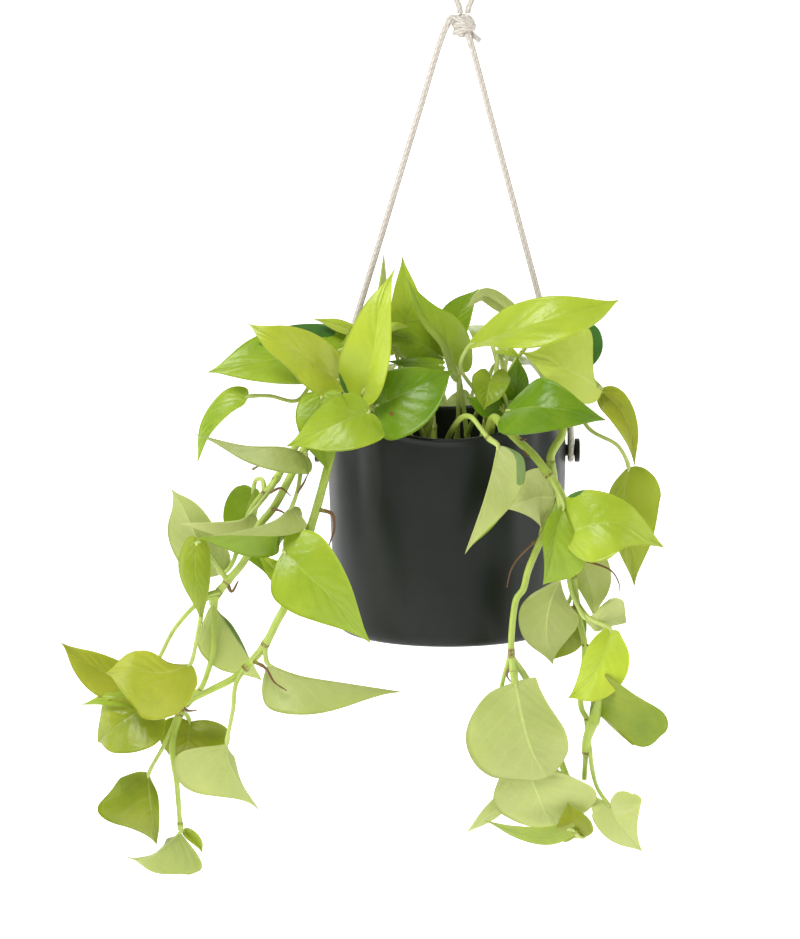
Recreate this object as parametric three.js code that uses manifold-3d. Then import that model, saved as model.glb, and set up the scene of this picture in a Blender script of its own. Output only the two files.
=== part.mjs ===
// Potted golden pothos in a hanging pot: a dark moulded pot with two raised ears, soil, a crown of leafy
// stems, trailing vines on both sides, and two lengths of braided rope that meet in a knot under an eye.
// Millimetres, +Z up, +Y away from the front. Places are written with the pot standing at z = 0 on the
// pot's axis. At the end the group moves the part so that its origin is the inner top of the hanging eye.

import * as THREE from "three";
import { mergeVertices } from "three/addons/utils/BufferGeometryUtils.js";
import Module from "manifold-3d";

const wasm = await Module();
wasm.setup();

// Driving dimensions of the pot
const POT_FOOT_RADIUS = 83; // outer radius just above the rounded foot
const POT_RIM_RADIUS = 90.2; // outer radius at the rim
const POT_CORNER = 5; // height of the rounded corner at the foot
const POT_WALL = 3;
const POT_FLOOR = 4;
const RIM_LOW = 158; // rim height in the dips at the front and the rear
const EAR_RISE = 23; // how much higher the two ears stand
const EAR_LEAN = 8.5; // how far the ropes pull the top of each ear inwards
const EAR_LEAN_START = 140; // height at which the lean begins
const LIP = 1.3; // how far the rolled lip stands out
const POT_SIDES = 32;
const SOIL_LEVEL = 127;
const SOIL_MOUND = 3; // rise of the soil towards the middle
const HOLE_BOTTOM = 97; // level of the bottom of the holes that the stems stand in
const CLEARANCE = 0.35; // gap between pieces that touch

// Driving dimensions of the rope and its bosses
const ROPE_RADIUS = 2.25;
const BOSS_HEIGHT = 136.6; // height of the axis of both bosses
const BOSS_CORE = 4.2; // radius at the bottom of the groove
const BOSS_FLANGE = 9; // radius of the flange that keeps the rope in
const FLANGE_IN = 96.8; // distance of the flange's inner face from the pot's axis
const FLANGE_OUT = 100.5;
const ROPE_SIDE = 93.7; // distance of the rope in its groove from the pot's axis
const KNOT = [12, 0, 457];
const KNOT_SIZE = [8.5, 6, 9]; // half sizes of the bundle in the knot
const EYE_TOP = 505; // level of the inner top of the hanging eye

// Driving dimensions of the plant
const BLADE = 0.8; // thickness of a leaf
const STALK = [1.3, 1.0]; // radius of a leaf's stalk at its foot and at the blade
const STALK_IN_BLADE = 0.12; // share of the blade along which the stalk runs on as the midrib
const STALK_SIDES = 4;
const STEM_SIDES = 5;
const LARGE_BLADE = 52; // blades wider than this have the most faces
const SMALL_BLADE = 22; // and those under this the fewest

const finish = (color, roughness) => new THREE.MeshStandardMaterial({ color, roughness, metalness: 0 });
const POT_FINISH = finish(0x323634, 0.55);
const SOIL_FINISH = finish(0x2e2419, 0.95);
const ROPE_FINISH = finish(0xcfc6b4, 0.9);
const PLANT_FINISH = finish(0x9fc43a, 0.45);

const group = new THREE.Group();

function piece(name, geometry, material) {
  const mesh = new THREE.Mesh(geometry, material);
  mesh.name = name;
  group.add(mesh);
}

// Solids: closed meshes in and out of the boolean library

function indexedGeometry(positions, indices) {
  const geometry = new THREE.BufferGeometry();
  geometry.setAttribute("position", new THREE.Float32BufferAttribute(positions, 3));
  geometry.setIndex(indices);
  return geometry;
}

function toSolid(geometry) {
  const bare = geometry.clone();
  bare.deleteAttribute("normal");
  bare.deleteAttribute("uv");
  const merged = mergeVertices(bare, 1e-4);
  const corners = merged.index.array;
  const triangles = [];
  for (let i = 0; i < corners.length; i += 3) {
    const [a, b, c] = [corners[i], corners[i + 1], corners[i + 2]];
    if (a !== b && b !== c && c !== a) {
      triangles.push(a, b, c);
    }
  }
  const mesh = new wasm.Mesh({
    numProp: 3,
    vertProperties: new Float32Array(merged.attributes.position.array),
    triVerts: new Uint32Array(triangles),
  });
  return new wasm.Manifold(mesh);
}

function toGeometry(solid) {
  const mesh = solid.getMesh();
  return indexedGeometry(Array.from(mesh.vertProperties), Array.from(mesh.triVerts));
}

// One body from several. Hollows that the joining seals are filled, and all of it has to hold together.
function joined(solids) {
  const bodies = solids.reduce((whole, next) => whole.add(next)).decompose();
  bodies.sort((one, other) => other.volume() - one.volume());
  const loose = bodies.slice(1).map((body) => body.volume()).filter((volume) => volume > 0);
  if (loose.length > 0) {
    throw new Error(`a joined piece has loose bodies of ${loose.map((volume) => volume.toFixed(1))} mm3`);
  }
  return bodies[0];
}

const vector = ([x, y, z]) => new THREE.Vector3(x, y, z);
const smooth = (from, to, value) => THREE.MathUtils.smoothstep(value, from, to);
const bell = (value, middle, width) => Math.exp(-(((value - middle) / width) ** 2));
const mix = (a, b, t) => a + (b - a) * t;

// A closed mesh from rings of points. The first and last entry are single points, the poles, and every ring
// between them has the same number of points, counter-clockwise as seen from the last pole.
function ringsGeometry(firstPole, rings, lastPole) {
  const sides = rings[0].length;
  const points = [firstPole, ...rings.flat(), lastPole];
  const indices = [];
  const at = (ring, side) => 1 + ring * sides + (side % sides);
  for (let side = 0; side < sides; side += 1) {
    indices.push(0, at(0, side + 1), at(0, side));
    for (let ring = 0; ring < rings.length - 1; ring += 1) {
      indices.push(at(ring, side), at(ring, side + 1), at(ring + 1, side + 1));
      indices.push(at(ring, side), at(ring + 1, side + 1), at(ring + 1, side));
    }
    indices.push(points.length - 1, at(rings.length - 1, side), at(rings.length - 1, side + 1));
  }
  return indexedGeometry(points.flat(), indices);
}

// The pot

const rimHeight = (angle) => RIM_LOW + EAR_RISE * Math.cos(angle) ** 2;

// Radius of the plain outer wall: widening from the foot to the rim, less and less steeply.
function wallRadius(height) {
  const rest = 1 - height / RIM_LOW;
  return POT_FOOT_RADIUS + (POT_RIM_RADIUS - POT_FOOT_RADIUS) * (1 - rest * Math.abs(rest));
}

// Soft folds that fan down from the ears, and the lean of the ears, as a change of the radius.
const FOLD_TOP = 150;
const FOLD_FOOT = 40;
function wallRelief(angle, height, foldFoot) {
  const fromEar = THREE.MathUtils.radToDeg(Math.acos(Math.min(1, Math.abs(Math.cos(angle)))));
  const groove = 39 + (FOLD_TOP - height) * 0.06;
  const folds = -2.2 * bell(fromEar, groove, 7) + 1.4 * bell(fromEar, 58, 9) + 0.8 * bell(fromEar, 24, 7);
  const lean = EAR_LEAN * Math.cos(angle) ** 8 * smooth(EAR_LEAN_START, RIM_LOW + EAR_RISE, height);
  return folds * smooth(foldFoot, FOLD_TOP, height) - lean;
}

// Levels at which the inside of the wall and the soil both have a ring, from the top down
const INSIDE_LEVELS = [SOIL_LEVEL, 60, 7];
const FLOOR_CORNER = 4; // how far the flat floor ends before the wall
const innerRadius = (height) => wallRadius(height) - POT_WALL;

function potRing(radiusAt, heightAt) {
  return Array.from({ length: POT_SIDES }, (_, side) => {
    const angle = (2 * Math.PI * side) / POT_SIDES;
    const height = heightAt(angle);
    const radius = radiusAt(angle, height);
    return [radius * Math.cos(angle), radius * Math.sin(angle), height];
  });
}

function potGeometry() {
  const outer = (angle, height) => wallRadius(height) + wallRelief(angle, height, FOLD_FOOT);
  const inner = (angle, height) => innerRadius(height) + wallRelief(angle, height, SOIL_LEVEL + 2);
  const level = (height) => () => height;
  const rings = [
    potRing(() => POT_FOOT_RADIUS - 7, level(0)),
    potRing(() => POT_FOOT_RADIUS - 2.4, level(1.2)),
  ];
  for (const share of [0, 0.3, 0.55, 0.77, 0.95]) {
    rings.push(potRing(outer, (angle) => mix(POT_CORNER, rimHeight(angle) - 3, share)));
  }
  // The rolled lip, over the rim from the outside to the inside
  for (const [out, down] of [[LIP, 2.6], [LIP, 0.7], [0, 0], [-POT_WALL, 0.4]]) {
    rings.push(potRing((angle, height) => outer(angle, height) + out, (angle) => rimHeight(angle) - down));
  }
  rings.push(potRing(inner, (angle) => mix(rimHeight(angle), SOIL_LEVEL, 0.6)));
  for (const height of INSIDE_LEVELS) {
    rings.push(potRing(inner, level(height)));
  }
  rings.push(potRing(() => innerRadius(POT_FLOOR) - FLOOR_CORNER, level(POT_FLOOR)));
  return ringsGeometry([0, 0, 0], rings, [0, 0, POT_FLOOR]);
}

// A grooved round boss on the side of the pot: a core that the rope bears on, and a flange that keeps it in.
function bossGeometry(side) {
  const edge = 0.8;
  const foot = POT_RIM_RADIUS - 2;
  const profile = [
    [0, foot],
    [BOSS_CORE, foot],
    [BOSS_CORE, FLANGE_IN],
    [BOSS_FLANGE, FLANGE_IN],
    [BOSS_FLANGE, FLANGE_OUT - edge],
    [BOSS_FLANGE - edge, FLANGE_OUT],
    [0, FLANGE_OUT],
  ].map(([radius, along]) => new THREE.Vector2(radius, along));
  const geometry = new THREE.LatheGeometry(profile, 14);
  geometry.rotateZ((-side * Math.PI) / 2);
  geometry.translate(0, 0, BOSS_HEIGHT);
  return geometry;
}

piece("pot", toGeometry(joined([potGeometry(), bossGeometry(1), bossGeometry(-1)].map(toSolid))), POT_FINISH);

// The ropes: each one runs from the knot down to its boss, under the boss, and back up to the knot.

// A route whose steps follow its own points, so that the bend under the boss gets more of them.
class Route extends THREE.CatmullRomCurve3 {
  getUtoTmapping(share) {
    return share;
  }
}

function ropeGeometry(points, steps) {
  const section = new THREE.Shape();
  const sides = 6;
  for (let side = 0; side < sides; side += 1) {
    const angle = (2 * Math.PI * side) / sides;
    const [x, y] = [ROPE_RADIUS * Math.cos(angle), ROPE_RADIUS * Math.sin(angle)];
    if (side === 0) {
      section.moveTo(x, y);
    } else {
      section.lineTo(x, y);
    }
  }
  section.closePath();
  const extrudePath = new Route(points.map(vector), false, "centripetal");
  return new THREE.ExtrudeGeometry(section, { steps, extrudePath, bevelEnabled: false });
}

const BEND = BOSS_CORE + ROPE_RADIUS + CLEARANCE; // radius of the rope's line under the boss

// The front strand's points from the knot down to the boss, and the bend. The rear strand mirrors the front.
function ropePoints(strand, side) {
  const bend = [0, 30, 60, 90].map((degrees) => {
    const angle = THREE.MathUtils.degToRad(degrees);
    return [side * ROPE_SIDE, -BEND * Math.cos(angle), BOSS_HEIGHT - BEND * Math.sin(angle)];
  });
  const front = [...strand, [side * ROPE_SIDE, -BEND, BOSS_HEIGHT + 12], ...bend];
  const rear = front.slice(0, -1).reverse().map(([x, y, z]) => [x, -y, z]);
  return [...front, ...rear];
}

const LEFT_STRAND = [
  [2.6, -3, 463],
  [-3, -3.4, 452],
  [-21, -4, 394],
  [-45, -4.8, 315],
  [-68, -5.6, 240],
  [-85.2, -6.3, 184],
  [-91.6, -6.6, 163],
];
const RIGHT_STRAND = [
  [16.2, -3.1, 447.2],
  [19, -3.4, 438],
  [33, -4, 386],
  [51, -4.8, 320],
  [69.5, -5.6, 252],
  [87, -6.3, 186],
  [92.2, -6.6, 163],
];
const ROPE_STEPS = 36;
piece("rope_left", ropeGeometry(ropePoints(LEFT_STRAND, -1), ROPE_STEPS), ROPE_FINISH);
piece("rope_right", ropeGeometry(ropePoints(RIGHT_STRAND, 1), ROPE_STEPS), ROPE_FINISH);

// The knot: the bundle of rope, two turns round it, and the short end that sticks out at its lower right.
function knotSolid() {
  const bundle = new THREE.SphereGeometry(1, 9, 7);
  bundle.scale(...KNOT_SIZE);
  const solids = [toSolid(bundle)];
  for (const [tilt, height] of [[0.45, 2.6], [-0.3, -3.4]]) {
    const turn = new THREE.TorusGeometry(KNOT_SIZE[0] - 1.6, ROPE_RADIUS, 5, 9);
    turn.scale(1, 0.74, 1);
    turn.rotateY(tilt);
    turn.translate(0, 0, height);
    solids.push(toSolid(turn));
  }
  const end = new THREE.CylinderGeometry(1.9, 1.9, 11, 6);
  end.rotateZ(THREE.MathUtils.degToRad(50));
  end.rotateX(Math.PI / 2);
  end.translate(8, 0, -8);
  solids.push(toSolid(end));
  return joined(solids).translate(KNOT);
}
piece("rope_knot", toGeometry(knotSolid()), ROPE_FINISH);

// The hanging eye: a loop of the same rope, both feet on top of the knot.
function eyePoints() {
  const foot = KNOT[2] + KNOT_SIZE[2] + 0.1;
  const half = [
    [-2.9, 0, foot],
    [-3.4, 0, foot + 4],
    [-7, 0, foot + 13],
    [-9.5, 0, foot + 24],
    [-8, 0, EYE_TOP - 4.4],
    [-4.4, 0, EYE_TOP + 0.6],
  ];
  const other = half.map(([x, y, z]) => [-x, y, z]).reverse();
  const loop = [...half, [0, 0, EYE_TOP + ROPE_RADIUS], ...other];
  return loop.map(([x, y, z]) => [x + KNOT[0], y, z]);
}
piece("rope_eye", ropeGeometry(eyePoints(), 15), ROPE_FINISH);

// The plant. Each leafy stem is one grown piece: its stem, the stalks of its leaves and the blades.

// Half outline of a blade as pairs of the share along the midrib and the share of the half width, once for a
// rounded foot and once for a heart-shaped foot whose lobe reaches back past the stalk.
const ROUND_FOOT = [
  [0, 0], [0.015, 0.2], [0.06, 0.46], [0.13, 0.76], [0.21, 0.95], [0.32, 1],
  [0.49, 0.89], [0.66, 0.64], [0.8, 0.34], [0.91, 0.12], [1, 0],
];
const HEART_FOOT = [
  [0, 0], [-0.06, 0.2], [-0.085, 0.46], [-0.03, 0.76], [0.11, 0.96], [0.28, 1],
  [0.47, 0.89], [0.65, 0.64], [0.8, 0.34], [0.91, 0.12], [1, 0],
];
const WIDEST_ROUND = 0.32;
const WIDEST_HEART = 0.28;

// A point of the half outline: how far along the blade, and which share of the half width. The widest place
// is moved to peak, a lobe over 1 reaches back further, and full under 1 makes the margin rounder.
function outlinePoint(share, { lobe, peak, full }) {
  const heart = Math.min(lobe, 1);
  const blend = ROUND_FOOT.map(([x, y], index) => {
    const [heartX, heartY] = HEART_FOOT[index];
    return new THREE.Vector3(mix(x, heartX, heart), mix(y, heartY, heart), 0);
  });
  const point = new THREE.CatmullRomCurve3(blend, false, "catmullrom", 0.5).getPoint(share);
  const power = Math.log(peak) / Math.log(mix(WIDEST_ROUND, WIDEST_HEART, heart));
  const along = point.x < 0 ? point.x * Math.max(lobe, 1) : point.x ** power;
  return [along, Math.max(point.y, 0) ** full];
}

const pair = (value) => (Array.isArray(value) ? value : [value, value]);

// A blade: midrib points from foot to tip, the way its face looks, and for its left and right half the width,
// the fold up from the midrib and the further curl in degrees, and the outline.
function leaf(name, stalk, midrib, form) {
  const { facing, width, fold = [12, 12], curl = [-12, -12], lobe = 0.85, peak = 0.29, full = 1 } = form;
  const halves = [0, 1].map((half) => ({
    width: width[half],
    fold: THREE.MathUtils.degToRad(fold[half]),
    bend: THREE.MathUtils.degToRad(Math.abs(curl[half]) < 0.01 ? 0.01 : curl[half]) / width[half],
    lobe: pair(lobe)[half],
    peak: pair(peak)[half],
    full: pair(full)[half],
  }));
  return { name, stalk, midrib, facing: vector(facing), halves };
}

function stem(radii, points) {
  return { radii, points };
}

// The point of a blade's middle surface at a share of its length, and across from -1, the left margin, to 1.
// Each half is an arc across the blade: it leaves the midrib at its fold and bends by its curl.
function bladePoint({ midrib, facing, halves }, curve, length, share, across) {
  const half = halves[across < 0 ? 0 : 1];
  const [edgeAlong, edgeWidth] = outlinePoint(share, half);
  const out = Math.abs(across);
  const along = mix(share * share, edgeAlong, out);
  const reach = half.width * edgeWidth * out;
  const place = THREE.MathUtils.clamp(along, 0, 1);
  const tangent = curve.getTangent(place);
  const point = curve.getPoint(place).addScaledVector(tangent, Math.min(along, 0) * length);
  const face = facing.clone().addScaledVector(tangent, -facing.dot(tangent)).normalize();
  const side = tangent.clone().cross(face);
  const sideways = (Math.sin(half.fold + half.bend * reach) - Math.sin(half.fold)) / half.bend;
  const raised = (Math.cos(half.fold) - Math.cos(half.fold + half.bend * reach)) / half.bend;
  return point.addScaledVector(side, Math.sign(across) * sideways).addScaledVector(face, raised);
}

const smoothCurve = (points) => new THREE.CatmullRomCurve3(points.map(vector), false, "catmullrom", 0.5);

function midribLength(midrib) {
  const spans = midrib.slice(1).map((point, index) => vector(point).distanceTo(vector(midrib[index])));
  return spans.reduce((sum, span) => sum + span);
}

// A blade as a closed shell: both faces have the same triangles, half the blade's thickness to either side.
function bladeGeometry(blade) {
  const width = blade.halves[0].width + blade.halves[1].width;
  const [steps, rows] = width > LARGE_BLADE ? [5, 2] : width > SMALL_BLADE ? [5, 1] : [4, 1];
  const curve = smoothCurve(blade.midrib);
  const length = midribLength(blade.midrib);
  const points = [];
  const index = new Map();
  for (let row = -rows; row <= rows; row += 1) {
    for (let step = 0; step <= steps; step += 1) {
      const pole = step === 0 || step === steps;
      const key = pole ? `pole ${step}` : `${row} ${step}`;
      if (!index.has(key)) {
        index.set(key, points.length);
        points.push(bladePoint(blade, curve, length, step / steps, pole ? 0 : row / rows));
      }
      index.set(`at ${row} ${step}`, index.get(key));
    }
  }
  const at = (row, step) => index.get(`at ${row} ${step}`);
  const faces = [];
  const addFace = (a, b, c) => {
    if (a !== b && b !== c && c !== a) {
      faces.push([a, b, c]);
    }
  };
  for (let row = -rows; row < rows; row += 1) {
    for (let step = 0; step < steps; step += 1) {
      addFace(at(row, step), at(row + 1, step + 1), at(row, step + 1));
      addFace(at(row, step), at(row + 1, step), at(row + 1, step + 1));
    }
  }
  const normals = points.map(() => new THREE.Vector3());
  for (const [a, b, c] of faces) {
    const normal = points[b].clone().sub(points[a]).cross(points[c].clone().sub(points[a]));
    [a, b, c].forEach((corner) => normals[corner].add(normal));
  }
  const shell = [1, -1].flatMap((up) => {
    return points.map((point, i) => point.clone().addScaledVector(normals[i].normalize(), (up * BLADE) / 2));
  });
  const under = points.length;
  const indices = faces.flatMap(([a, b, c]) => [a, b, c, under + a, under + c, under + b]);
  for (let step = 0; step < steps; step += 1) {
    for (const [a, b] of [[at(-rows, step), at(-rows, step + 1)], [at(rows, step + 1), at(rows, step)]]) {
      indices.push(a, b, under + b, a, under + b, under + a);
    }
  }
  return indexedGeometry(shell.flatMap((point) => point.toArray()), indices);
}

// A round stem or stalk along a curve, tapering evenly, closed at both ends. Its rings stand square to the
// straight runs between them, and each takes over the turn of the ring before.
function stemGeometry(curve, radii, sides, step) {
  const steps = Math.max(1, Math.round(curve.getLength() / step));
  const centres = curve.getSpacedPoints(steps);
  let across = new THREE.Vector3(0.31, -0.9, 0.3);
  const rings = centres.map((centre, ring) => {
    const before = centres[Math.max(ring - 1, 0)];
    const along = centres[Math.min(ring + 1, steps)].clone().sub(before).normalize();
    across = across.clone().addScaledVector(along, -across.dot(along)).normalize();
    const other = along.clone().cross(across);
    const radius = mix(radii[0], radii[1], ring / steps);
    return Array.from({ length: sides }, (_, side) => {
      const angle = (2 * Math.PI * side) / sides;
      const point = centre.clone().addScaledVector(across, radius * Math.cos(angle));
      return point.addScaledVector(other, radius * Math.sin(angle)).toArray();
    });
  });
  return ringsGeometry(centres[0].toArray(), rings, centres[steps].toArray());
}

const STEM_STEP = 22;
const STALK_STEP = 32;
const HOLE_STEP = 30;

// The stalk runs on under the blade as its midrib.
function stalkGeometry(blade) {
  const rib = smoothCurve(blade.midrib);
  const run = [0, STALK_IN_BLADE].map((share) => rib.getPoint(share));
  const curve = new THREE.CatmullRomCurve3([...blade.stalk.map(vector), ...run], false, "centripetal");
  return stemGeometry(curve, STALK, STALK_SIDES, STALK_STEP);
}

function grownSolid(parts) {
  return joined(parts.flatMap((part) => {
    if (part.points) {
      return [toSolid(stemGeometry(smoothCurve(part.points), part.radii, STEM_SIDES, STEM_STEP))];
    }
    return [toSolid(stalkGeometry(part)), toSolid(bladeGeometry(part))];
  }));
}

// Every leafy stem and vine with its routes. The first point of a stem is its foot in the soil.
const PLANT = {
  stem_01: [
    stem([2.6, 2.0], [[-36, -40, 98], [-37, -42, 128], [-38, -44, 152]]),
    leaf("left_01", [[-38, -44, 150], [-46, -54, 182], [-57, -70, 196]],
      [[-63, -84, 191], [-55, -92, 221], [-50, -88, 255], [-39, -74, 284]],
      { facing: [-0.15, -1, 0.25], width: [24, 17], fold: [5, 35],
        peak: [0.26, 0.28], full: [1.25, 1.1] }),
    leaf("left_02", [[-38, -44, 150], [-46, -38, 195]],
      [[-48, -28, 231], [-46, -24, 261], [-48, -16, 288]],
      { facing: [-1, -0.1, 0.2], width: [9, 9], fold: [52, 52] }),
  ],
  stem_02: [
    stem([2.6, 2.0], [[-52, -22, 98], [-54, -24, 128], [-57, -27, 152]]),
    leaf("left_03", [[-57, -27, 150], [-68, -44, 188], [-74, -62, 202]],
      [[-78, -73, 197], [-107, -90, 221], [-129, -99, 235], [-147, -93, 244]],
      { facing: [-0.1, -0.75, 0.65], width: [24, 20],
        lobe: 0.35, peak: [0.26, 0.26], full: [1.1, 1.2] }),
    leaf("left_04", [[-57, -27, 150], [-67, -34, 200]],
      [[-77, -48, 219], [-110, -62, 216], [-146, -70, 212], [-178, -70, 205]],
      { facing: [-0.1, -0.75, 0.65], width: [30, 28] }),
  ],
  stem_03: [
    stem([2.4, 1.8], [[-26, -22, 98], [-27, -24, 128], [-28, -26, 152]]),
    leaf("left_05", [[-28, -26, 150], [-34, -25, 195]],
      [[-42, -38, 223], [-61, -50, 230], [-80, -56, 224]],
      { facing: [0, -0.8, 0.6], width: [14, 16] }),
    leaf("left_06", [[-28, -26, 150], [-46, -28, 200]],
      [[-64, -36, 229], [-83, -44, 237], [-100, -46, 242]],
      { facing: [0, -0.6, 0.8], width: [8, 7] }),
  ],
  stem_04: [
    stem([2.6, 2.0], [[-46, -58, 98], [-48, -61, 128], [-50, -64, 152]]),
    leaf("left_07", [[-50, -64, 150], [-54, -63, 174], [-64, -76, 182], [-84, -93, 182]],
      [[-93, -99, 191], [-92, -105, 174], [-91, -108, 155], [-89, -110, 137]],
      { facing: [-0.2, -0.95, 0.15], width: [20, 20] }),
    leaf("left_08", [[-50, -64, 150], [-53, -62, 175], [-64, -76, 184], [-66, -92, 183]],
      [[-58, -98, 179], [-76, -114, 175], [-98, -114, 165], [-119, -106, 155]],
      { facing: [0, -0.8, 0.6], width: [26, 20], fold: [5, 25],
        lobe: [0.59, 0.47], peak: [0.24, 0.28] }),
  ],
  stem_05: [
    stem([2.2, 1.5], [[-60, -8, 98], [-62, -10, 128], [-64, -14, 158]]),
    leaf("left_10", [[-64, -14, 156], [-74, -26, 192], [-94, -48, 204], [-112, -62, 183],
      [-132, -67, 187]],
      [[-148, -70, 187], [-162, -75, 179], [-177, -77, 161], [-186, -72, 138]],
      { facing: [-0.4, -0.8, 0.4], width: [7, 15], fold: [30, 5], lobe: [0, 0.71] }),
  ],
  stem_06: [
    stem([2.6, 2.0], [[-14, -10, 98], [-15, -11, 128], [-16, -12, 152]]),
    leaf("right_01", [[-16, -12, 150], [-23, -13, 205]],
      [[-30, -16, 226], [-31, -22, 253], [-34, -16, 286]],
      { facing: [0, -0.95, 0.3], width: [13, 13] }),
    leaf("right_04", [[-16, -12, 150], [-10, -24, 190]],
      [[-5, -44, 213], [-24, -54, 226], [-54, -58, 235]],
      { facing: [0, -0.85, 0.5], width: [22, 20] }),
    leaf("right_04_b", [[-16, -12, 150], [-26, -36, 200]],
      [[-50, -60, 234], [-39, -62, 238], [-28, -58, 238]],
      { facing: [0, -0.6, 0.8], width: [5, 5] }),
  ],
  stem_07: [
    stem([2.6, 2.0], [[6, -30, 98], [6, -31, 128], [7, -33, 152]]),
    leaf("right_02", [[7, -33, 150], [8, -40, 177]],
      [[7, -44, 203], [-2, -56, 227], [-17, -60, 246], [-32, -50, 274]],
      { facing: [0.2, -0.85, 0.5], width: [15, 19], fold: [40, 10] }),
  ],
  stem_08: [
    stem([2.6, 2.0], [[-14, -48, 98], [-15, -50, 128], [-16, -53, 152]]),
    leaf("right_05", [[-16, -53, 150], [-30, -64, 178]],
      [[-53, -76, 181], [-36, -86, 190], [-15, -86, 200], [3, -76, 207]],
      { facing: [0, -0.92, 0.4], width: [20, 32] }),
    leaf("right_06", [[-16, -53, 150], [-8, -62, 190]],
      [[-5, -68, 210], [-25, -70, 211], [-46, -66, 213]],
      { facing: [0, -0.8, 0.6], width: [6, 6] }),
  ],
  stem_09: [
    stem([2.6, 2.0], [[16, -8, 98], [16, -8, 128], [15, -9, 152]]),
    leaf("right_07", [[15, -9, 150], [8, -9, 200]],
      [[2, 0, 223], [10, -4, 242], [24, 0, 260]],
      { facing: [-0.1, -0.95, 0.3], width: [14, 11] }),
    leaf("right_20", [[15, -9, 150], [24, -26, 172], [34, -42, 182]],
      [[39, -52, 174], [27, -58, 177], [13, -56, 185]],
      { facing: [0, -0.8, 0.6], width: [9, 10] }),
  ],
  stem_10: [
    stem([2.8, 2.2], [[32, -24, 98], [32, -26, 128], [32, -28, 152]]),
    leaf("right_08", [[32, -28, 150], [38, -16, 210]],
      [[47, -8, 244], [28, -14, 256], [14, -18, 247]],
      { facing: [0, 0.8, 0.6], width: [8, 8] }),
    leaf("right_09", [[32, -28, 150], [24, -46, 182], [9, -62, 209]],
      [[16, -62, 224], [45, -80, 236], [82, -86, 249], [126, -72, 259]],
      { facing: [0.05, -0.7, 0.7], width: [23, 24], lobe: 0.24, peak: [0.42, 0.62], full: [1.1, 1] }),
    leaf("right_21", [[32, -28, 150], [50, -16, 205], [84, -34, 238]],
      [[104, -40, 234], [107, -44, 218], [102, -42, 200]],
      { facing: [0.1, -0.95, 0.2], width: [9, 11] }),
  ],
  stem_11: [
    stem([2.8, 2.2], [[46, -38, 98], [47, -40, 128], [48, -43, 152]]),
    leaf("right_10", [[48, -43, 150], [58, -56, 182], [76, -62, 201], [98, -68, 205]],
      [[113, -72, 193], [93, -85, 206], [73, -90, 216], [51, -83, 223]],
      { facing: [0.1, -0.95, 0.1], width: [18, 34], fold: [5, -2],
        curl: [-10, 14], lobe: [0.59, 0], peak: [0.3, 0.47], full: [1, 2.6] }),
    leaf("right_18", [[48, -43, 150], [42, -52, 185]],
      [[32, -58, 200], [29, -68, 190], [26, -72, 177]],
      { facing: [0.1, -0.7, 0.7], width: [17, 14], fold: [35, 20], lobe: [2.5, 1.76] }),
    leaf("right_22", [[48, -43, 150], [47, -32, 172], [43, -29, 202]],
      [[38, -30, 217], [46, -34, 216], [56, -32, 210]],
      { facing: [0, -0.7, 0.7], width: [5, 5] }),
  ],
  stem_12: [
    stem([2.8, 2.2], [[60, -12, 98], [61, -13, 128], [63, -16, 152]]),
    leaf("right_11", [[63, -16, 150], [80, -30, 200], [100, -48, 206]],
      [[113, -60, 190], [127, -66, 178], [136, -66, 158], [139, -58, 133]],
      { facing: [-0.3, -0.9, 0.3], width: [11, 12], fold: [30, 30], lobe: 0.24 }),
    leaf("right_12", [[63, -16, 150], [74, -20, 186], [88, -28, 192], [105, -46, 160], [127, -50, 147]],
      [[135, -50, 131], [131, -54, 107], [135, -56, 73], [140, -52, 41]],
      { facing: [0.1, -0.95, 0.2], width: [28, 12], fold: [10, 10],
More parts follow.
